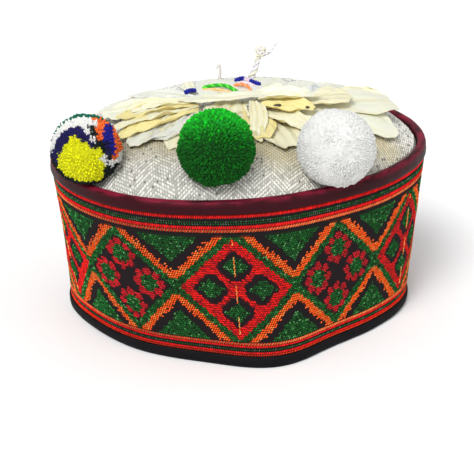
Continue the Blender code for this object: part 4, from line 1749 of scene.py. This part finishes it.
@dataclass
class PetalSpray:
    """A spray of petals that spread from one place on the crown."""

    form: CapForm
    name: str
    node: str
    petals: tuple[Petal, ...]
    balls: tuple[Pompom, ...]
    seed: int
    length_steps: int = 32
    width_steps: int = 24
    thickness: float = 0.00035

    def _clear(self, point: Vector) -> Vector:
        """Moves a point out of the pompoms and up from the tweed.

        Args:
            point: The point.

        Returns:
            Its new place.
        """
        for ball in self.balls:
            gap = point - ball.middle()
            least = ball.radius + 0.0008
            if gap.length < least:
                point = ball.middle() + gap.normalized() * least
        low = float(self.form.crown(np.array(point.x), np.array(point.y))) + 0.0009
        point.z = max(point.z, low)
        return point

    def _petal(self, petal: Petal, index: int) -> tuple[np.ndarray, np.ndarray, np.ndarray]:
        """The points of one petal.

        Args:
            petal: The petal.
            index: Its number in the spray, for its own creases.

        Returns:
            Its grid of points, the strength of the fold tint and painted shade at each, and the map places.
        """
        rng = random.Random(self.seed * 100 + index)
        root, tip = Vector(petal.root), Vector(petal.tip)
        run_out = tip - root
        length = run_out.length
        across = Vector((-run_out.y, run_out.x)).normalized()
        drift = Vector((rng.uniform(0, 50), rng.uniform(0, 50), 0))
        phase = rng.uniform(0, 6.28)
        sway = rng.uniform(-0.10, 0.10) * length
        rows, cols = self.length_steps, self.width_steps
        points = np.zeros((rows + 1, cols + 1, 3))
        fold_tints_and_shades = np.zeros((rows + 1, cols + 1))
        uv = np.zeros((rows + 1, cols + 1, 2))
        for j in range(rows + 1):
            r = j / rows
            edge = math.sin(math.pi * (0.10 + 0.72 * r)) ** 0.6
            for i in range(cols + 1):
                s = 2 * i / cols - 1
                ragged = 1 + 0.13 * abs(s) * noise.noise(Vector((r * 4, s * 2, 0)) + drift)
                half = petal.width / 2 * edge * ragged
                end = 1 + (0.10 * noise.noise(Vector((s * 1.6, 4, 0)) + drift) - 0.17 * s**4) * r**3
                flat = root + run_out * (r * end) + across * (s * half + sway * math.sin(math.pi * r) * 0.5)
                fan = s * petal.pleats + phase + 0.25 * math.sin(3 * r + phase)
                sharp = 4 * abs(fan % 1 - 0.5) - 1
                big = noise.noise(Vector((flat.x * 70, flat.y * 70, index * 3.1)) + drift)
                fine = noise.noise(Vector((flat.x * 240, flat.y * 240, index * 1.7)) + drift)
                lift = petal.start + (petal.rise - petal.start) * r**1.5
                body = math.sin(math.pi * min(1.0, 0.08 + r))
                lift += petal.cup * math.sin(math.pi * r) * s * s
                lift += petal.crumple * (0.0008 * sharp * body**0.5 + 0.0017 * big * r**0.5 + 0.0006 * fine)
                curl = abs(s) ** 4 * petal.crumple * 0.0020 * noise.noise(Vector((r * 4, s * 3, 9)) + drift)
                spot_on = self.form.on_crown(flat.x, flat.y, lift + curl)
                points[j, i] = self._clear(spot_on)
                # Fold tint and painted shade: strongest along the pleats' folds and along the middle near the
                # root.
                crest = max(0.0, -sharp) ** 3 * (0.25 + 0.75 * (1 - r))
                fold_tints_and_shades[j, i] = crest + 0.30 * max(0.0, 0.5 - abs(s)) * (1 - r)
                uv[j, i] = (r * length, s * petal.width / 2)
        return points, fold_tints_and_shades, uv

    def build(self) -> None:
        """Makes and dresses the spray."""
        whole = bmesh.new()
        tints, fold_tints_and_shades = [], []
        layer = whole.loops.layers.uv.new("cloth")
        rng = random.Random(self.seed)
        for index, petal in enumerate(self.petals):
            points, fold, uv = self._petal(petal, index)
            rows, cols = fold.shape
            verts = [[whole.verts.new(points[j, i]) for i in range(cols)] for j in range(rows)]
            base = vary(petal.tone.value, 0.06, rng)
            for j in range(rows):
                for i in range(cols):
                    tints.append(base)
                    fold_tints_and_shades.append(fold[j, i])
            for j in range(rows - 1):
                for i in range(cols - 1):
                    corners = ((j, i), (j, i + 1), (j + 1, i + 1), (j + 1, i))
                    face = whole.faces.new([verts[a][b] for a, b in corners])
                    for loop, (a, b) in zip(face.loops, corners):
                        loop[layer].uv = uv[a, b]
        for face in whole.faces:
            face.normal_update()
            if face.normal.z < 0:
                face.normal_flip()
        mesh = bpy.data.meshes.new(self.name)
        whole.to_mesh(mesh)
        whole.free()
        mesh.shade_smooth()
        colour_points(mesh, "tint", np.array(tints))
        mark_points(mesh, "fold", np.array(fold_tints_and_shades))
        piece = put(mesh, self.name, PetalFinish(self.name + "_husk").build())
        wall = piece.modifiers.new("thickness", "SOLIDIFY")
        wall.thickness = self.thickness
        wall.offset = 0.0
        bake(piece)
        piece.data.set_sharp_from_angle(angle=math.radians(26))
        dress(piece, (self.node,))


# Yarns and thread


def twisted(
    name: str,
    path: list[Vector],
    radius: float | list[float],
    plies: int,
    twist: float,
    tints: list[Colour],
    rng: random.Random,
    sides: int = 8,
    patch: tuple[float, float, Colour] | None = None,
) -> Mesh:
    """A yarn of plies that wind round each other along a path.

    Args:
        name: The mesh's name.
        path: Points along the yarn's middle.
        radius: The whole yarn's radius, or one for each point.
        plies: The number of plies.
        twist: The length of one full turn.
        tints: The colour of each ply.
        rng: The source of chance for the plies' small faults.
        sides: Sides of each ply's section.
        patch: A stretch of another colour, from one share of the yarn's length to another.

    Returns:
        The mesh, with its map and tint.
    """
    count = len(path)
    radii = [radius] * count if isinstance(radius, float) else radius
    tangents = [(path[min(k + 1, count - 1)] - path[max(k - 1, 0)]).normalized() for k in range(count)]
    side = tangents[0].orthogonal().normalized()
    frames, runs, run = [], [], 0.0
    for k in range(count):
        side = (side - tangents[k] * side.dot(tangents[k])).normalized()
        frames.append((side.copy(), tangents[k].cross(side)))
        run += (path[k] - path[k - 1]).length if k else 0.0
        runs.append(run)
    bm = bmesh.new()
    layer = bm.loops.layers.uv.new("cloth")
    colours: list[Colour] = []
    for ply in range(plies):
        rings = []
        for k in range(count):
            angle = 2 * math.pi * (ply / plies + runs[k] / twist)
            a, b = frames[k]
            out = a * math.cos(angle) + b * math.sin(angle)
            strand = radii[k] * (0.56 if plies > 1 else 1.0)
            middle = path[k] + out * (radii[k] - strand if plies > 1 else 0.0)
            swell = 1 + 0.08 * noise.noise(middle * 700) + rng.uniform(-0.02, 0.02)
            end = min(runs[k], runs[-1] - runs[k]) / strand
            taper = math.sqrt(max(0.12, 1 - max(0.0, 1 - end) ** 2))
            ring = []
            for n in range(sides):
                turn = 2 * math.pi * n / sides
                outward = a * math.cos(turn) + b * math.sin(turn)
                ring.append(bm.verts.new(middle + outward * strand * swell * taper))
                patched = patch and patch[0] < k / (count - 1) < patch[1]
                colours.append(patch[2] if patched else tints[ply % len(tints)])
            rings.append(ring)
        for k in range(count - 1):
            for n in range(sides):
                m = (n + 1) % sides
                face = bm.faces.new((rings[k][n], rings[k][m], rings[k + 1][m], rings[k + 1][n]))
                spots = ((n, k), (n + 1, k), (n + 1, k + 1), (n, k + 1))
                for loop, (c, d) in zip(face.loops, spots):
                    loop[layer].uv = (c * strand, runs[d])
        bm.faces.new(list(reversed(rings[0])))
        bm.faces.new(rings[-1])
    bmesh.ops.recalc_face_normals(bm, faces=bm.faces[:])
    mesh = finished(bm, name)
    colour_points(mesh, "tint", np.array(colours))
    return mesh


def smooth_path(points: list[Vector], steps: int) -> list[Vector]:
    """A smooth path through points.

    Args:
        points: The points.
        steps: Steps between two points.

    Returns:
        The path.
    """
    full = [points[0] * 2 - points[1]] + points + [points[-1] * 2 - points[-2]]
    path = []
    for k in range(1, len(full) - 2):
        a, b, c, d = full[k - 1 : k + 3]
        for n in range(steps):
            t = n / steps
            square = (2 * a - 5 * b + 4 * c - d) * t * t
            cube = (3 * b - a - 3 * c + d) * t**3
            path.append(0.5 * (2 * b + (c - a) * t + square + cube))
    path.append(points[-1])
    return path


def joined(name: str, meshes: list[Mesh]) -> Mesh:
    """One mesh from several that have the same map and attributes.

    Args:
        name: The new mesh's name.
        meshes: The meshes, which are removed.

    Returns:
        The mesh.
    """
    bm = bmesh.new()
    for mesh in meshes:
        bm.from_mesh(mesh)
    whole = finished(bm, name)
    for mesh in meshes:
        bpy.data.meshes.remove(mesh)
    return whole


@dataclass(frozen=True)
class YarnRun:
    """A short yarn over the crown: places from the cap's own middle and heights over the tweed."""

    stops: tuple[Triple, ...]
    radius: float
    tints: tuple[Colour, ...]
    patch: tuple[float, float, Colour] | None = None
    twist: float = 0.0048


@dataclass
class YarnTrim:
    """The short twisted yarns that lie between the petal sprays."""

    form: CapForm
    name: str
    nodes: tuple[str, ...]
    slot: str
    runs: tuple[YarnRun, ...]
    seed: int

    def build(self) -> None:
        """Makes and dresses the yarns."""
        rng = random.Random(self.seed)
        meshes = []
        for index, run in enumerate(self.runs):
            stops = [self.form.on_crown(x, y, rise) for x, y, rise in run.stops]
            path = smooth_path(stops, 24)
            name = f"{self.name}_{index}"
            meshes.append(twisted(name, path, run.radius, 3, run.twist, list(run.tints), rng, 8, run.patch))
        finish = YarnFinish(self.name + "_wool", roughness=0.75, unevenness=0.25).build()
        dress(put(joined(self.name, meshes), self.name, finish), self.nodes)


@dataclass
class KnottedThread:
    """The white thread end behind the sprays: plies that rise from the crown, a knot and a tail."""

    form: CapForm
    foot: tuple[float, float] = (0.0085, 0.0560)
    height: float = 0.0140
    lean: float = 0.0060

    def build(self) -> None:
        """Makes and dresses the thread."""
        rng = random.Random(77)
        white, warm = (0.76, 0.75, 0.79), (0.78, 0.74, 0.60)
        base = self.form.on_crown(*self.foot, 0.0006)
        knot = base + Vector((self.lean, 0.0, self.height + 0.0015))
        bend = base.lerp(knot, 0.35) + Vector((0.0006, 0, 0))
        stem = smooth_path([base, bend, base.lerp(knot, 0.7), knot], 12)
        radii = [0.0021 - 0.0008 * k / (len(stem) - 1) for k in range(len(stem))]
        meshes = [twisted("thread_stem", stem, radii, 3, 0.0105, [white, warm, white], rng)]
        loops = []
        for k in range(64):
            a = 2 * math.pi * k / 21.0
            tilt = 2 * math.pi * k / 63.0
            ring = Vector((0.0021 * math.cos(a), 0.0015 * math.sin(a), 0.0019 * math.sin(a + tilt)))
            loops.append(knot + ring + Vector((0.0, 0.0, 0.0004)))
        meshes.append(twisted("thread_knot", loops, 0.00125, 2, 0.005, [warm, white], rng))
        start = knot + Vector((0.0008, 0.0, -0.0012))
        turns = ((0.0038, 0.0004, 0.0006), (0.0066, 0.0, 0.0042), (0.0090, 0.0, 0.0078))
        tail = [start, *(start + Vector(turn) for turn in turns)]
        path = smooth_path(tail, 10)
        tail_radii = [0.00110 - 0.0005 * k / (len(path) - 1) for k in range(len(path))]
        meshes.append(twisted("thread_tail", path, tail_radii, 2, 0.006, [white, white], rng))
        stub = [start, start + Vector((0.0022, -0.0006, 0.0006)), start + Vector((0.0040, -0.0008, 0.0016))]
        path = smooth_path(stub, 8)
        meshes.append(twisted("thread_stub", path, 0.0008, 2, 0.005, [white, warm], rng))
        finish = YarnFinish("knot_thread", roughness=0.8, unevenness=0.22).build()
        piece = put(joined("knotted_thread_plies", meshes), "knotted_thread_plies", finish)
        dress(piece, ("knotted_thread",))


@dataclass
class DryStalk:
    """The thin stalk beside the thread, with its hooked tip and the husk at its foot."""

    form: CapForm
    foot: tuple[float, float] = (-0.0095, 0.0520)

    def build(self) -> None:
        """Makes and dresses the stalk."""
        rng = random.Random(83)
        tone = (0.62, 0.60, 0.55)
        base = self.form.on_crown(*self.foot, 0.0004)
        tip = base + Vector((0.0004, 0.0, 0.0090))
        hook = [tip + Vector((-0.0012, 0.0, -0.0006)), tip + Vector((-0.0017, 0.0, -0.0020))]
        stem = [base, base.lerp(tip, 0.5) + Vector((0.0003, 0, 0)), tip, *hook]
        path = smooth_path(stem, 8)
        radii = [0.0010 - 0.0004 * min(1.0, k / 14) for k in range(len(path))]
        mesh = twisted("dry_stalk_stem", path, radii, 1, 0.01, [tone], rng)
        finish = YarnFinish("dry_stem", roughness=0.75, unevenness=0.4).build()
        dress(put(mesh, "dry_stalk_stem", finish), ("dry_stalk",))


# Stage, light and camera


@dataclass
class Studio:
    """The floor, the soft lights and the camera."""

    form: CapForm
    distance: float = 1.213
    focal_px: float = 2147.5
    frame_px: int = 474
    elevation_deg: float = 20.3
    roll_deg: float = -0.17
    aim: tuple[float, float] = (0.00048, 0.0424)

    def camera(self) -> Piece:
        """The camera, in front of the cap and a little above it.

        Returns:
            The camera.
        """
        data = bpy.data.cameras.new("camera")
        data.sensor_width = 36.0
        data.lens = self.focal_px / self.frame_px * 36.0
        data.clip_end = 20.0
        made = bpy.data.objects.new("camera", data)
        bpy.context.scene.collection.objects.link(made)
        e = math.radians(self.elevation_deg)
        made.location = (
            self.aim[0] + self.form.offset.x,
            -self.distance * math.cos(e) + self.form.offset.y,
            self.aim[1] + self.distance * math.sin(e),
        )
        look = Vector((0.0, math.cos(e), -math.sin(e)))
        made.rotation_euler = look.to_track_quat("-Z", "Y").to_euler()
        made.rotation_euler.rotate_axis("Z", math.radians(self.roll_deg))
        bpy.context.scene.camera = made
        return made

    def axes(self) -> tuple[Vector, Vector, Vector]:
        """The directions for what is placed by how it faces the front.

        Returns:
            Right, up and towards the camera.
        """
        e = math.radians(self.elevation_deg)
        up, near = Vector((0, math.sin(e), math.cos(e))), Vector((0, -math.cos(e), math.sin(e)))
        return Vector((1, 0, 0)), up, near

    def lamp(self, name: str, kind: str, place: Vector, size: float, power: float) -> None:
        """A soft lamp that faces the cap.

        Args:
            name: Its name.
            kind: SUN or AREA.
            place: Where it stands.
            size: An area's side in metres, or a sun's width in degrees.
            power: An area's watts, or a sun's strength.
        """
        data = bpy.data.lights.new(name, kind)
        data.energy = power
        if kind == "SUN":
            data.angle = math.radians(size)
        else:
            data.size = size
        made = bpy.data.objects.new(name, data)
        bpy.context.scene.collection.objects.link(made)
        made.location = place
        made.rotation_euler = (Vector((0, 0, 0.06)) - place).to_track_quat("-Z", "Y").to_euler()

    def build(self) -> None:
        """Makes the floor, the lights and the world."""
        bm = bmesh.new()
        bmesh.ops.create_grid(bm, x_segments=2, y_segments=2, size=6.0)
        mesh = bpy.data.meshes.new("floor")
        bm.to_mesh(mesh)
        bm.free()
        floor = put(mesh, "floor", StageFinish().build())
        self.lamp("key", "SUN", Vector((-0.38, -1.10, 1.20)), 24.0, 2.50)
        self.lamp("fill", "AREA", Vector((1.1, -1.2, 0.6)), 1.2, 4.0)
        world = bpy.data.worlds.new("soft_room")
        world.use_nodes = True
        back = world.node_tree.nodes["Background"]
        back.inputs[0].default_value = (1.0, 1.0, 1.0, 1.0)
        back.inputs[1].default_value = 0.60
        scene = bpy.context.scene
        scene.world = world
        scene.view_settings.view_transform = "Standard"


CREAM, PALE, STRAW, SILVER, HUSK, SEED = PetalTone

LEFT_PETALS: tuple[Petal, ...] = (
    Petal((-0.0240, 0.0040), (-0.0730, -0.0030), 0.025, 0.0018, 0.0005, HUSK, 1.5, 0.5),
    Petal((-0.0240, 0.0080), (-0.0590, 0.0270), 0.025, 0.0018, 0.0005, HUSK, 1.5, 0.5),
    Petal((-0.0255, 0.0200), (-0.0275, 0.0400), 0.007, 0.0036, 0.0005, PALE, 1.0, 0.5),
    Petal((-0.0270, -0.0140), (-0.0300, -0.0660), 0.024, 0.0014, 0.0006, CREAM, 1.0, 0.7),
    Petal((-0.0250, -0.0050), (-0.0720, -0.0200), 0.026, 0.0045, 0.0020, PALE, 2.0, 0.9),
    Petal((-0.0260, -0.0160), (-0.0420, -0.0580), 0.018, 0.0026, 0.0012, SILVER, 2.0, 1.2),
    Petal((-0.0240, -0.0140), (-0.0550, -0.0590), 0.020, 0.0034, -0.0010, SILVER, 1.0, 0.9),
    Petal((-0.0230, -0.0120), (-0.0620, -0.0520), 0.017, 0.0050, 0.0016, STRAW, 2.5, 1.1, 0.0020),
    Petal((-0.0220, -0.0100), (-0.0650, -0.0430), 0.014, 0.0060, 0.0016, CREAM, 2.5, 1.0, 0.0026),
    Petal((-0.0220, -0.0070), (-0.0640, -0.0330), 0.013, 0.0066, 0.0016, STRAW, 2.0, 1.0, 0.0030),
    Petal((-0.0230, -0.0040), (-0.0620, -0.0230), 0.014, 0.0064, 0.0012, CREAM, 2.0, 0.9, 0.0034),
)

MIDDLE_PETALS: tuple[Petal, ...] = (
    Petal((0.0080, -0.0060), (0.0280, 0.0240), 0.022, 0.0040, -0.0010, PALE, 1.5, 0.8),
    Petal((-0.0040, 0.0040), (-0.0040, -0.0480), 0.024, 0.0020, 0.0010, CREAM, 1.5, 0.8),
    Petal((0.0120, -0.0160), (0.0300, -0.0640), 0.026, 0.0035, -0.0015, CREAM, 2.0, 1.0),
    Petal((0.0070, -0.0160), (0.0150, -0.0600), 0.022, 0.0045, 0.0020, STRAW, 2.0, 1.2),
    Petal((0.0160, -0.0140), (0.0390, -0.0480), 0.020, 0.0060, 0.0020, CREAM, 3.0, 1.0),
    Petal((0.0140, -0.0100), (0.0420, -0.0260), 0.018, 0.0080, 0.0020, STRAW, 3.0, 1.0, 0.0040),
    Petal((0.0100, -0.0140), (0.0115, -0.0600), 0.0095, 0.0036, 0.0010, CREAM, 1.5, 0.8, 0.0065),
    Petal((0.0300, 0.0040), (-0.0300, -0.0090), 0.015, 0.0055, 0.0010, PALE, 1.0, 0.7, 0.0055),
    Petal((0.0130, -0.0040), (0.0440, -0.0100), 0.018, 0.0095, 0.0030, PALE, 1.5, 0.9, 0.0060),
    Petal((-0.0020, 0.0020), (-0.0150, 0.0520), 0.030, 0.0010, 0.0002, HUSK, 1.0, 0.3, 0.0009),
    Petal((0.0100, 0.0040), (0.0200, 0.0540), 0.028, 0.0010, 0.0002, HUSK, 1.0, 0.3, 0.0009),
    # Two small near-black sheets: painted shadow where gaps between the petals show dark.
    Petal((0.0208, -0.0183), (0.0246, -0.0197), 0.0048, 0.0057, 0.0, SEED, 0.5, 0.15, 0.0057),
    Petal((0.0378, -0.0256), (0.0398, -0.0262), 0.0028, 0.0077, 0.0, SEED, 0.5, 0.10, 0.0077),
)

RIGHT_PETALS: tuple[Petal, ...] = (
    Petal((0.0480, 0.0000), (0.0380, 0.0400), 0.030, 0.0026, 0.0008, HUSK, 1.0, 0.5),
    Petal((0.0440, 0.0000), (0.0700, 0.0420), 0.038, 0.0036, 0.0006, HUSK, 1.0, 0.5),
    Petal((0.0480, -0.0080), (0.0560, -0.0460), 0.034, 0.0030, 0.0008, CREAM, 1.5, 0.6),
    Petal((0.0440, -0.0080), (0.0870, -0.0200), 0.040, 0.0045, 0.0008, PALE, 1.0, 0.6),
    Petal((0.0420, -0.0040), (0.0900, 0.0160), 0.042, 0.0095, 0.0008, PALE, 1.0, 0.6),
    Petal((0.0400, -0.0060), (0.0640, 0.0030), 0.026, 0.0075, 0.0015, CREAM, 1.5, 0.8, 0.0050),
)

# The first, lighter green ply is partly the yarn's own tone and partly a painted highlight along the twist.
GREEN_YARN: tuple[Colour, ...] = ((0.16, 0.78, 0.08), (0.04, 0.50, 0.03), (0.03, 0.42, 0.02))
CORAL_YARN: tuple[Colour, ...] = ((0.90, 0.28, 0.09), (0.90, 0.42, 0.24))
PEACH_YARN: tuple[Colour, ...] = ((0.85, 0.52, 0.20), (0.82, 0.62, 0.40))
BLUE_YARN: tuple[Colour, ...] = ((0.014, 0.020, 0.34), (0.010, 0.012, 0.22), (0.012, 0.016, 0.28))
PINK_YARN: tuple[Colour, ...] = ((0.72, 0.60, 0.68), (0.74, 0.72, 0.76))

GREEN_RUN = YarnRun(
    (
        (-0.0188, 0.0300, 0.0014), (-0.0120, 0.0290, 0.0030),
        (-0.0050, 0.0260, 0.0034), (0.0010, 0.0205, 0.0016),
    ), 0.0012, GREEN_YARN
)
CORAL_RUN = YarnRun(
    (
        (-0.0010, 0.0340, 0.0012), (0.0030, 0.0310, 0.0030),
        (0.0070, 0.0270, 0.0026), (0.0085, 0.0240, 0.0012),
    ), 0.0010, CORAL_YARN
)
PEACH_RUN = YarnRun(
    ((-0.0190, 0.0265, 0.0012), (-0.0100, 0.0250, 0.0018), (-0.0020, 0.0205, 0.0012)), 0.0008, PEACH_YARN
)
BLUE_RUN = YarnRun(
    ((-0.0005, 0.0450, 0.0015), (0.0040, 0.0430, 0.0032), (0.0090, 0.0390, 0.0024), (0.0140, 0.0350, 0.0016)),
    0.0014,
    BLUE_YARN,
    (0.42, 0.62, PINK_YARN[0]),
)
PINK_RUN = YarnRun(
    ((0.0010, 0.0400, 0.0012), (0.0060, 0.0380, 0.0020), (0.0110, 0.0330, 0.0012)), 0.0009, PINK_YARN
)
SHORT_RUN = YarnRun(
    ((-0.0285, 0.0150, 0.0030), (-0.0255, 0.0175, 0.0034), (-0.0225, 0.0200, 0.0026)), 0.0014, BLUE_YARN
)


def build_cap(form: CapForm, studio: Studio) -> None:
    """Makes every piece of the cap.

    Args:
        form: The cap's form.
        studio: The studio, for the directions that the pompoms face.
    """
    WovenBand(form).build()
    # The second colour of each tape is its painted highlight near the upper edge.
    maroon = TapeFinish("maroon_leatherette", (0.030, 0.002, 0.005), (0.230, 0.010, 0.034), 0.50, 0.0, 0.10)
    top = top_section(form.height)
    Tape(form, "top_tape", "top_binding", "maroon_tape", top, maroon, 0.00032, 3.0).build()
    black = TapeFinish("black_tape", (0.0045, 0.0042, 0.0055), (0.009, 0.008, 0.010), 0.75, 0.0, 0.10)
    foot = foot_section()
    Tape(form, "foot_tape", "foot_binding", "black_tape", foot, black, 0.00028, 8.0).build()
    TweedCrown(form).build()
    view = studio.axes()
    green_spots, white_spots = facing(Yarn.LEAF, (0.0, 0.0)), facing(Yarn.WHITE, (0.0, 0.0))
    left, middle, right = (-0.0782, -0.0717, 0.1138), (-0.0100, -0.0908, 0.1211), (0.0522, -0.0770, 0.1161)
    # The looks' gains and core shares are painted shade: darker low down, in front and in the core.
    mixed_look = {"painted_shade_gains": (0.80, 1.0), "core_shade": 0.72, "core_size": 0.92}
    green_look = {"painted_shade_gains": (0.26, 1.30), "core_shade": 0.40, "speck_share": 0.10, "count": 3300}
    white_look = {"painted_shade_gains": (0.84, 0.96), "core_shade": 1.0, "core_size": 0.935, "soak": 0.3, "count": 5200}
    green_look |= {"tuft_width": 0.00172}
    white_look |= {"tuft_width": 0.00160, "shag": 0.5}
    balls = tuple(
        Pompom(form, name, slot, slot, centre, radius, spots, seed, view, **look)
        for name, slot, centre, radius, spots, seed, look in (
            ("mixed_pompom", "pompom_left", left, 0.0194, MIXED_SPOTS, 5, mixed_look),
            ("green_pompom", "pompom_middle", middle, 0.0208, green_spots, 6, green_look),
            ("white_pompom", "pompom_right", right, 0.0213, white_spots, 7, white_look),
        )
    )
    for ball in balls:
        ball.build()
    PetalSpray(form, "left_spray", "petals_left", LEFT_PETALS, balls, 1).build()
    PetalSpray(form, "middle_spray", "petals_middle", MIDDLE_PETALS, balls, 2).build()
    PetalSpray(form, "right_spray", "petals_right", RIGHT_PETALS, balls, 3).build()
    YarnTrim(form, "green_twist", ("green_yarn",), "green_yarn", (GREEN_RUN,), 1).build()
    YarnTrim(form, "coral_twist", ("orange_yarn",), "orange_yarn", (CORAL_RUN, PEACH_RUN), 2).build()
    blues = (BLUE_RUN, SHORT_RUN, PINK_RUN)
    YarnTrim(form, "blue_twists", ("blue_yarn", "blue_yarn_end"), "blue_yarn", blues, 3).build()
    KnottedThread(form).build()
    DryStalk(form).build()


def main() -> None:
    """Loads the frame and dresses the cap."""
    logging.basicConfig(level=logging.INFO, format="%(name)s %(message)s")
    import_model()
    form = CapForm()
    form.settle("band")
    LOG.info("offset %s", tuple(round(v, 5) for v in form.offset))
    studio = Studio(form)
    studio.camera()
    build_cap(form, studio)
    studio.build()


if __name__ == "__main__":
    main()
